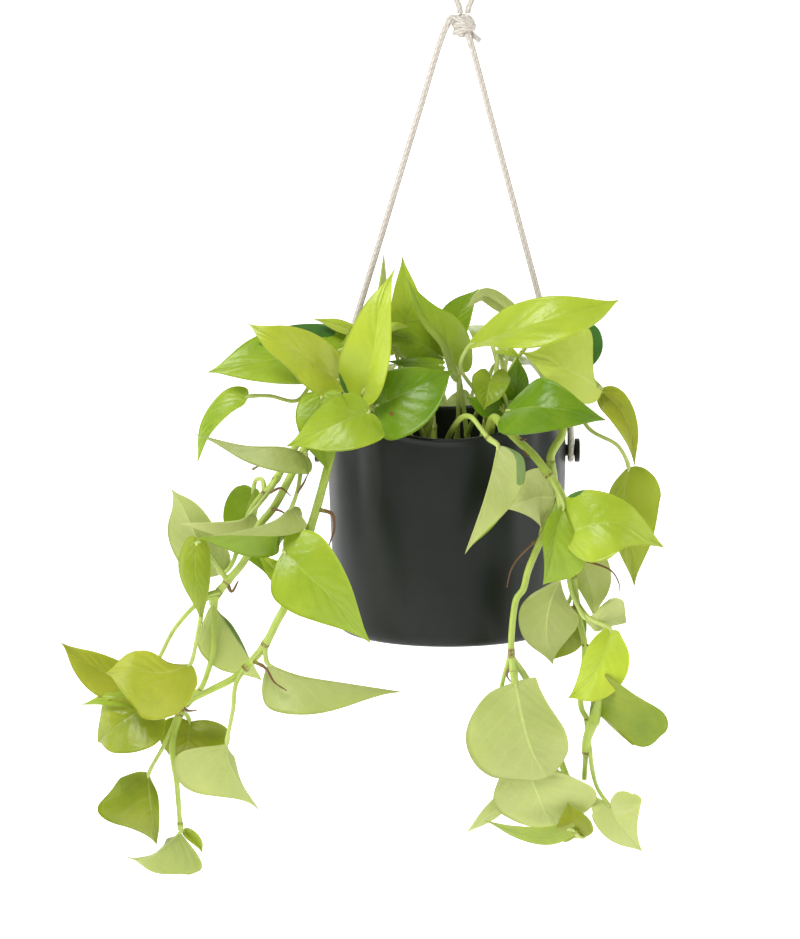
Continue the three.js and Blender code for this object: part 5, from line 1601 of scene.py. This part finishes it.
        Leaf("left_29", [(-163, -94, 53), (-173, -98, 69), (-180, -102, 81)],
            [(-185, -104, 84), (-186, -110, 64), (-183, -110, 42), (-181, -104, 19)],
            facing=(0, -1, 0.1), width=(12, 14), fold=(5, 5), curl=(-40, -60), full=1.5),
    ],
    "vine_left_inner": [
        Stem((3.4, 2.7), [(-58, -44, 98), (-59, -45, 128), (-59, -46, 152), (-61, -50, 172),
            (-70, -59, 185), (-80, -72, 177), (-84, -84, 157), (-89, -92, 137), (-97, -98, 108),
            (-109, -106, 71), (-119, -104, 39), (-126, -104, 25), (-135, -102, 7), (-146, -98, -8)]),
        Stem((2.6, 2.2), [(-145, -98, -7), (-158, -98, -19), (-175, -98, -28), (-190, -96, -36),
            (-200, -92, -44)]),
        Stem((2.4, 1.6), [(-198, -92, -43), (-205, -94, -71), (-202, -90, -102), (-200, -84, -138)]),
        Leaf("left_16", [(-109, -106, 71), (-115, -111, 76)],
            [(-121, -116, 79), (-105, -126, 65), (-83, -124, 43), (-57, -110, 9)],
            facing=(-0.1, -0.95, 0.3), width=(27, 30), fold=(8, 8),
            curl=(-15, -15), lobe=(0.94, 0), peak=(0.27, 0.36)),
        Leaf("left_17", [(-101, -104, 93), (-107, -98, 69), (-106, -102, 55)],
            [(-109, -101, 49), (-127, -98, 61), (-141, -97, 75)],
            facing=(0, -0.9, 0.3), width=(9, 9)),
        Leaf("left_18", [(-135, -102, 7), (-135, -104, -1)],
            [(-133, -104, -8), (-109, -112, -15), (-76, -110, -21), (-34, -98, -30)],
            facing=(0, 0.3, -0.95), width=(31, 16), fold=(50, 80), lobe=0.24),
        Leaf("left_20", [(-150, -98, -11), (-157, -104, -23), (-159, -108, -41)],
            [(-164, -108, -67), (-162, -114, -79), (-154, -114, -95), (-140, -104, -119)],
            facing=(-0.2, 0.95, 0.1), width=(41, 8), fold=(0, 60),
            lobe=0, peak=(0.3, 0.3), full=(1.5, 1.2)),
        Leaf("left_21", [(-199, -92, -47), (-195, -83, -50)],
            [(-193, -74, -58), (-194, -80, -70), (-196, -78, -82), (-199, -70, -95)],
            facing=(0.1, -0.95, 0.2), width=(31, 22)),
        Leaf("left_22", [(-199, -92, -44), (-210, -94, -69)],
            [(-223, -92, -94), (-221, -98, -112), (-219, -99, -131), (-217, -93, -148)],
            facing=(-0.2, -0.9, 0.3), width=(6, 43), fold=(0, -6), curl=(-10, -4), lobe=(0, 0.78),
            peak=(0.4, 0.44), full=(1, 1.8)),
        Leaf("left_23", [(-200, -85, -133)],
            [(-200, -84, -140), (-211, -90, -149), (-224, -88, -159), (-241, -78, -161)],
            facing=(0.1, 0.9, -0.3), width=(8, 31), fold=(70, 5),
            lobe=0, peak=(0.3, 0.22), full=(1, 1.5)),
        Leaf("left_24", [(-200, -85, -133), (-200, -80, -139)],
            [(-198, -78, -141), (-189, -76, -150), (-184, -72, -159)],
            facing=(0.5, -0.8, 0.3), width=(6, 6), fold=(50, 50)),
    ],
    "vine_right_front": [
        Stem((3.4, 1.8), [(26, -60, 98), (27, -63, 128), (29, -68, 152), (33, -79, 172), (41, -94, 167),
            (50, -98, 159), (63, -101, 147), (73, -104, 134), (82, -107, 121), (87, -106, 106),
            (88, -100, 84), (92, -98, 57), (96, -100, 28), (101, -100, 2), (98, -102, -37), (103, -104, -51),
            (102, -104, -73), (101, -104, -95)]),
        Stem((1.6, 1.2), [(102, -104, -60), (105, -105, -72), (106, -108, -84), (110, -110, -99),
            (118, -112, -111)]),
        Stem((2.6, 4.0), [(102, -105, -75), (102, -108, -66), (104, -112, -57), (107, -113, -49)]),
        Stem((4.2, 1.2), [(107, -113, -50), (109, -114, -42), (111, -118, -31), (114, -124, -16)]),
        Leaf("right_13", [(79, -104, 126), (81, -114, 113)],
            [(86, -120, 92), (105, -130, 101), (128, -128, 101), (158, -112, 81)],
            facing=(0.1, -0.85, 0.5), width=(27, 29), fold=(10, 10),
            curl=(-10, -20), lobe=(0.94, 0.35), peak=(0.28, 0.36)),
        Leaf("right_14", [(73, -104, 134), (78, -110, 125)],
            [(84, -116, 112), (78, -122, 92), (75, -122, 74), (69, -116, 54)],
            facing=(-0.2, -0.95, 0.15), width=(26, 10), fold=(5, 30), lobe=0, peak=(0.55, 0.3)),
        Leaf("right_34", [(88, -101, 92), (93, -96, 80)],
            [(97, -92, 71), (105, -96, 50), (108, -92, 25)],
            facing=(0.1, 0.95, 0.2), width=(12, 18)),
        Leaf("right_35", [(88, -101, 92), (83, -106, 74)],
            [(82, -104, 57), (74, -112, 38), (72, -112, 16), (77, -104, -8)],
            facing=(0, 0.95, 0.1), width=(21, 24), lobe=0, peak=0.5, full=1.1),
        Leaf("right_35_b", [(92, -98, 57), (91, -94, 42)],
            [(87, -90, 32), (83, -94, 11), (77, -88, -8)],
            facing=(0, -0.95, 0.1), width=(18, 17), peak=0.4),
        Leaf("right_33", [(88, -99, 69), (90, -106, 48)],
            [(101, -110, 27), (113, -114, 26), (131, -106, 24)],
            facing=(0, 0.9, 0.3), width=(9, 20), lobe=0, peak=(0.3, 0.7), full=0.8),
        Leaf("right_32", [(96, -100, 35), (104, -112, 28)],
            [(119, -118, 21), (114, -124, 3), (104, -122, -16), (88, -112, -32)],
            facing=(0, -0.9, 0.4), width=(21, 14), lobe=0.3, peak=(0.48, 0.4)),
        Leaf("right_31", [(102, -104, -73), (104, -109, -57), (107, -112, -44)],
            [(108, -112, -40), (110.3, -117.3, -30), (112.7, -122.7, -20), (115, -128, -10)],
            facing=(0, -0.9, 0.6), width=(5, 57), fold=(0, 23),
            curl=(-5, -40), lobe=(3, 4.4), peak=(0.4, 0.42), full=(1, 0.42)),
        Leaf("right_30", [(103, -104, -51), (106, -108, -82), (110, -110, -99)],
            [(119, -112, -113), (125, -120, -122), (133, -120, -133), (144, -112, -148)],
            facing=(0.2, -0.9, 0.3), width=(24, 17), lobe=(1.6, 2.6), peak=(0.13, 0.28)),
    ],
    "vine_front": [
        Stem((2.4, 1.6), [(-2, -58, 98), (-2, -61, 128), (-1, -66, 152), (8, -80, 171), (16, -92, 175),
            (23, -100, 168), (29, -106, 161), (36, -108, 156)]),
        Leaf("right_16", [(29, -106, 161)],
            [(36, -110, 156), (31, -118, 135), (24, -122, 112), (12, -112, 76)],
            facing=(0.9, 0.4, 0), width=(30, 27), fold=(75, 45), lobe=0.24, peak=(0.55, 0.3)),
    ],
    "vine_right_rear": [
        Stem((3.6, 2.0), [(62, -38, 98), (63, -39, 128), (63, -40, 154), (64, -43, 172),
            (74, -53, 189), (84, -68, 180), (84, -83, 162), (78, -90, 152), (75, -92, 144), (77, -92, 129),
            (80, -92, 114), (76, -98, 100),
            (69, -104, 88), (59, -108, 65), (55, -110, 50), (49, -112, 40), (46, -116, 10), (48, -118, -20)]),
        Leaf("right_15", [(76, -94, 142), (79, -90, 128)],
            [(78, -96, 116), (63, -101, 116), (42, -92, 107)],
            facing=(0.1, 0.95, 0), width=(22, 40), fold=(5, 8),
            curl=(-10, 0), lobe=0, peak=(0.4, 0.2)),
        Leaf("right_25", [(49, -116, -10)],
            [(49, -118, -18), (55, -128, -47), (62, -130, -69), (73, -120, -90)],
            facing=(0.1, 0.95, 0.1), width=(46, 28), fold=(7, 5), curl=(-8, 4),
            lobe=(0, 0.27), peak=(0.44, 0.6), full=(0.45, 0.45)),
        Leaf("right_26", [(46, -115, 5), (51, -104, -27), (50, -103, -58)],
            [(53, -108, -73), (61, -113, -92), (69, -113, -111), (77, -106, -131)],
            facing=(0.1, 0.95, 0.1), width=(34, 41), fold=(4, -2), curl=(6, 2),
            lobe=0.2, peak=(0.54, 0.75), full=(0.6, 0.62)),
        Leaf("right_27", [(46, -115, 1), (60, -98, -22), (78, -86, -70), (93, -88, -116), (97, -102, -134)],
            [(94, -118, -135), (92, -122, -123), (88, -118, -109)],
            facing=(0, -0.9, 0.4), width=(15, 14)),
        Leaf("right_28", [(46, -115, 1), (59, -99, -24), (80, -85, -72), (97, -89, -118), (101, -108, -136),
            (97, -122, -134)],
            [(90, -124, -128), (72, -128, -132), (49, -126, -129), (26, -118, -122)],
            facing=(0, -0.9, 0.4), width=(7, 7)),
        Leaf("right_29", [(46, -115, 5), (38, -100, -36), (41, -96, -82)],
            [(44, -98, -110), (30, -100, -123), (13, -96, -138)],
            facing=(0, 0.9, 0.3), width=(7, 7)),
    ],
    "vine_back": [
        Stem((3.2, 2.2), [(48, 42, 98), (49, 45, 128), (51, 54, 160), (50, 74, 180), (42, 92, 172),
            (34, 101, 146), (26, 104, 106), (16, 108, 66), (10, 108, 24)]),
        Leaf("back_11", [(22, 106, 86), (28, 110, 84)],
            [(35, 114, 76), (43, 118, 56), (45, 118, 34), (39, 114, 10)],
            facing=(0.3, 0.95, 0.1), width=(20, 22)),
        Leaf("back_12", [(12, 108, 40), (0, 112, 44)],
            [(-8, 114, 40), (-16, 116, 25), (-18, 113, 9), (-15, 109, -7)],
            facing=(-0.25, 0.96, 0.1), width=(17, 19)),
        Leaf("back_13", [(10, 108, 26)],
            [(6, 108, 20), (2, 110, 10), (1, 109, -1), (4, 106, -10)],
            facing=(0.1, 0.98, 0.1), width=(12, 11)),
    ],
}

# Leaves that differ from the usual: tone, which is also painted shade on leaves in shadow and painted light
# on backlit ones, green sectors and withered places
LOOKS: dict[str, Look] = {
    # left_01's green patch along the margin of its foot is painted shade.
    "left_01": Look(0.8, greens=(Patch(0.0, -1.0, 0.1, 0.2),)),
    "left_03": Look(0.78, olive=0.3),
    "left_04": Look(0.5, greens=(Patch(0.3, 0.8, 0.3, 0.42),)),
    "left_06": Look(0.9),
    "left_07": Look(0.42),
    "left_08": Look(0.5),
    "left_10": Look(0.45),
    "left_11": Look(0.15),
    "left_12": Look(0.22, olive=0.3),
    "left_13": Look(0.4),
    "left_14": Look(0.9),
    "left_15": Look(0.3),
    "left_16": Look(0.6),
    "left_17": Look(0.75),
    "left_18": Look(0.5),
    "left_19": Look(0.9, greens=(Patch(0.45, 0.75, 0.5, 0.4),)),
    "left_20": Look(0.8),
    "left_21": Look(0.35, olive=1.0),
    "left_22": Look(0.18, olive=0.9),
    "left_23": Look(0.35),
    "left_24": Look(0.75, olive=0.3),
    "left_25": Look(0.6, olive=0.9),
    "left_26": Look(0.6, olive=0.7),
    "left_28": Look(0.3, olive=0.7),
    "left_29": Look(0.38, olive=0.4),
    "right_01": Look(0.68),
    "right_02": Look(0.48),
    "right_04": Look(0.28),
    "right_05": Look(0.02, browns=(Patch(0.2, 0.35, 0.035, 0.07),)),
    "right_06": Look(0.0),
    "right_07": Look(0.25),
    "right_08": Look(1.0),
    "right_09": Look(0.76),
    "right_10": Look(1.0, pale=0.2),
    "right_11": Look(0.5, olive=0.8),
    "right_12": Look(0.46, olive=0.5),
    "right_13": Look(0.7, greens=(Patch(0.22, -0.97, 0.1, 0.08), Patch(-0.05, -1.0, 0.05, 0.1))),
    "right_14": Look(0.46),
    "right_15": Look(0.9),
    "right_16": Look(0.3, greens=(Patch(0.16, 0.9, 0.24, 0.22),)),
    "right_17": Look(0.04, browns=(Patch(1.0, 0.0, 0.03, 1.5),)),
    "right_18": Look(0.3, olive=0.3),
    "right_19": Look(0.0),
    "right_20": Look(0.0),
    "right_21": Look(0.2, greens=(Patch(0.5, 0.0, 1.0, 2.0),)),
    "right_26": Look(0.7),
    "right_27": Look(0.4, olive=0.8),
    "right_28": Look(0.5, pale=0.5),
    "right_29": Look(0.8),
    "right_30": Look(1.0, pale=1.0),
    "right_31": Look(0.22, olive=0.6),
    "right_32": Look(0.9),
    "right_33": Look(0.65),
    "right_34": Look(1.0),
    "right_35": Look(0.3),
    "right_35_b": Look(0.3, olive=0.8),
}

# Short roots and dry sheaths at the joints of the vines
ROOTS = [
    AerialRoot("vine_left_inner", [(-95, -99, 107), (-86, -100, 104), (-84, -99, 94), (-88, -99, 80)], 1.5),
    AerialRoot("vine_left_outer", [(-163, -94, 50), (-160, -95, 45), (-155, -94, 53)], 1.4),
    AerialRoot("vine_left_outer", [(-131, -94, 119), (-123, -99, 123), (-116, -98, 117)], 1.1),
    AerialRoot("vine_left_outer", [(-130, -95, 107), (-123, -100, 106), (-119, -99, 103)], 1.1),
    AerialRoot("vine_left_outer", [(-111, -98, 120), (-107, -101, 126), (-103, -99, 134)], 1.0),
    AerialRoot("vine_left_side", [(-144, -92, 136), (-138, -96, 140), (-133, -95, 143)], 0.9),
    AerialRoot(
        "vine_left_inner", [(-143, -104, -6), (-134, -120, -8), (-128, -124, -17), (-119, -121, -24)], 1.4
    ),
    AerialRoot("vine_left_inner", [(-197, -94, -42), (-193, -98, -44), (-186, -98, -44)]),
    AerialRoot("vine_right_rear", [(70, -103, 90), (52, -100, 72), (46, -100, 62), (43, -100, 49)], 1.1),
    AerialRoot("vine_right_front", [(90, -101, 72), (119, -106, 63), (125, -106, 54), (126, -106, 47)], 1.1),
    AerialRoot("vine_right_rear", [(47, -116, -6), (43, -112, -14), (46, -110, -20)]),
    AerialRoot("vine_right_front", [(99, -101, 6), (105, -101, 6), (107, -101, 8)]),
    AerialRoot("vine_right_front", [(50, -98, 159), (54, -101, 159), (57, -101, 160)]),
    AerialRoot("vine_right_front", [(54, -99, 154), (57, -102, 148), (60, -102, 147)]),
]


@dataclass
class Plant:
    """All leafy stems and vines."""

    rows: dict[str, list[Stem | Leaf]]
    looks: dict[str, Look]
    roots: list[AerialRoot]

    def build(self) -> None:
        """Makes one piece for each leafy stem: its stems, stalks, blades and aerial roots."""
        finishes = [LeafFinish().build(), StemFinish().build()]
        for node, grown in self.rows.items():
            leaves = [part for part in grown if isinstance(part, Leaf)]
            joints = np.array([leaf.stalk[0] for leaf in leaves], float)
            surfaces = [part.rod(joints, 1) for part in grown if isinstance(part, Stem)]
            for leaf in leaves:
                look = self.looks.get(leaf.name, Look())
                surfaces += [leaf.stalk_rod(1), leaf.blade(look, 0)]
            surfaces += [root.rod(1) for root in self.roots if root.node == node]
            add_piece(f"grown_{node}", Surface.joined(surfaces), finishes, [node])


# The studio


@dataclass(frozen=True)
class SoftLight:
    """A rectangular soft light that looks at the target.

    Attributes:
        name: its name.
        place: its place in metres from the target.
        size: its width and height in metres.
        power: its power in watts.
    """

    name: str
    place: Point
    size: Pair
    power: float

    def build(self, target: Array) -> None:
        """Makes the light.

        Args:
            target: the place that it looks at, in metres.
        """
        light = bpy.data.lights.new(self.name, "AREA")
        light.shape, light.size, light.size_y, light.energy = "RECTANGLE", *self.size, self.power
        lamp = bpy.data.objects.new(self.name, light)
        place = np.array(self.place)
        lamp.location = target + place
        away = place / np.linalg.norm(place)
        lamp.rotation_euler = (math.acos(away[2]), 0, math.atan2(away[0], -away[1]))
        bpy.context.scene.collection.objects.link(lamp)


@dataclass
class Studio:
    """The camera at the photograph's place, a pale floor that rises into a backdrop, and soft lights.

    Attributes:
        target: the place that the camera looks at, in millimetres.
        distance: the camera's distance from it in metres.
        elevation: how far the camera looks down, in degrees.
        lens: its focal length on a sensor 36 mm wide.
        floor_drop: distance of the floor below the part in metres.
        surround: strength of the even light from all sides.
        lights: the soft lights.
    """

    target: Point = (-35.7, 0.0, 121.7)
    distance: float = 3.0
    elevation: float = 8.7
    lens: float = 151.5
    floor_drop: float = 0.42
    surround: float = 0.3
    lights: tuple[SoftLight, ...] = (
        SoftLight("key", (-0.8, -1.1, 1.7), (0.9, 0.9), 34),
        SoftLight("left", (-1.8, -0.5, 0.2), (0.5, 1.5), 10),
        SoftLight("right", (1.8, -0.5, 0.3), (0.5, 1.5), 8),
    )

    def build_camera(self) -> None:
        """The camera: on the line through the target at the elevation, looking down that line."""
        tilt = math.radians(self.elevation)
        aim = in_frame(np.array(self.target))
        camera = bpy.data.cameras.new("camera")
        camera.lens, camera.sensor_width = self.lens, 36.0
        camera.clip_start, camera.clip_end = 0.1, 60.0
        view = bpy.data.objects.new("camera", camera)
        view.location = aim + self.distance * np.array([0, -math.cos(tilt), math.sin(tilt)])
        view.rotation_euler = (math.pi / 2 - tilt, 0, 0)
        bpy.context.scene.collection.objects.link(view)
        bpy.context.scene.camera = view

    def build_backdrop(self, lowest: float) -> None:
        """The floor and backdrop: a sheet that is flat, bends up on a quarter circle, and rises.

        Args:
            lowest: the part's lowest level in metres.
        """
        half, radius, floor = 9.0, 1.6, lowest - self.floor_drop
        turn = np.linspace(0, np.pi / 2, 24)
        y = np.concatenate([[-9.0], 2.4 + radius * np.sin(turn), [2.4 + radius]])
        z = np.concatenate([[floor], floor + radius * (1 - np.cos(turn)), [floor + 8.0]])
        x = np.array([-half, half])[:, None]
        places = np.stack([x + 0 * y, y + 0 * x, z + 0 * x], -1)
        index = np.arange(places[..., 0].size).reshape(places.shape[:2])
        faces, _ = grid_cells(index, np.zeros(index.shape + (2,)))
        mesh = bpy.data.meshes.new("backdrop")
        mesh.from_pydata(places.reshape(-1, 3).tolist(), [], faces.tolist())
        mesh.polygons.foreach_set("use_smooth", np.ones(len(faces), bool))
        s = Shading("white_paper")
        white = linear(255, 255, 255)
        cloud = s.mix(s.noise(0.6, 2.0), linear(250, 250, 250), white)
        glow = {"Emission_Color": white, "Emission_Strength": 0.75}
        mesh.materials.append(s.surface(Base_Color=cloud, Roughness=0.9, Specular_IOR_Level=0.1, **glow))
        backdrop = bpy.data.objects.new("backdrop", mesh)
        bpy.context.scene.collection.objects.link(backdrop)
        backdrop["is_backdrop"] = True

    def build_lights(self) -> None:
        """A bright surround, a large key light above, and a soft light at each side."""
        world = bpy.data.worlds.new("surround")
        world.use_nodes = True
        background = world.node_tree.nodes["Background"]
        background.inputs["Color"].default_value = (1, 1, 1, 1)
        background.inputs["Strength"].default_value = self.surround
        bpy.context.scene.world = world
        for light in self.lights:
            light.build(in_frame(np.array(self.target)))
        bpy.context.scene.view_settings.view_transform = "Standard"


def corners(box: object) -> list[list[float]]:
    """The two corners of a box as plain lists."""
    return [[float(value) for value in corner] for corner in box]


def main() -> None:
    """Builds the studio's camera, the hanger, the pot, the soil, the plant, the backdrop and the lights."""
    logging.basicConfig(level=logging.INFO, format="%(message)s")
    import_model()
    solid_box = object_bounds()
    studio = Studio()
    studio.build_camera()
    pot = Pot()
    Hanger(pot).build()
    pot.build()
    Soil(pot).build()
    Plant(PLANT, LOOKS, ROOTS).build()
    studio.build_backdrop(corners(solid_box)[0][2])
    studio.build_lights()


if __name__ == "__main__":
    main()
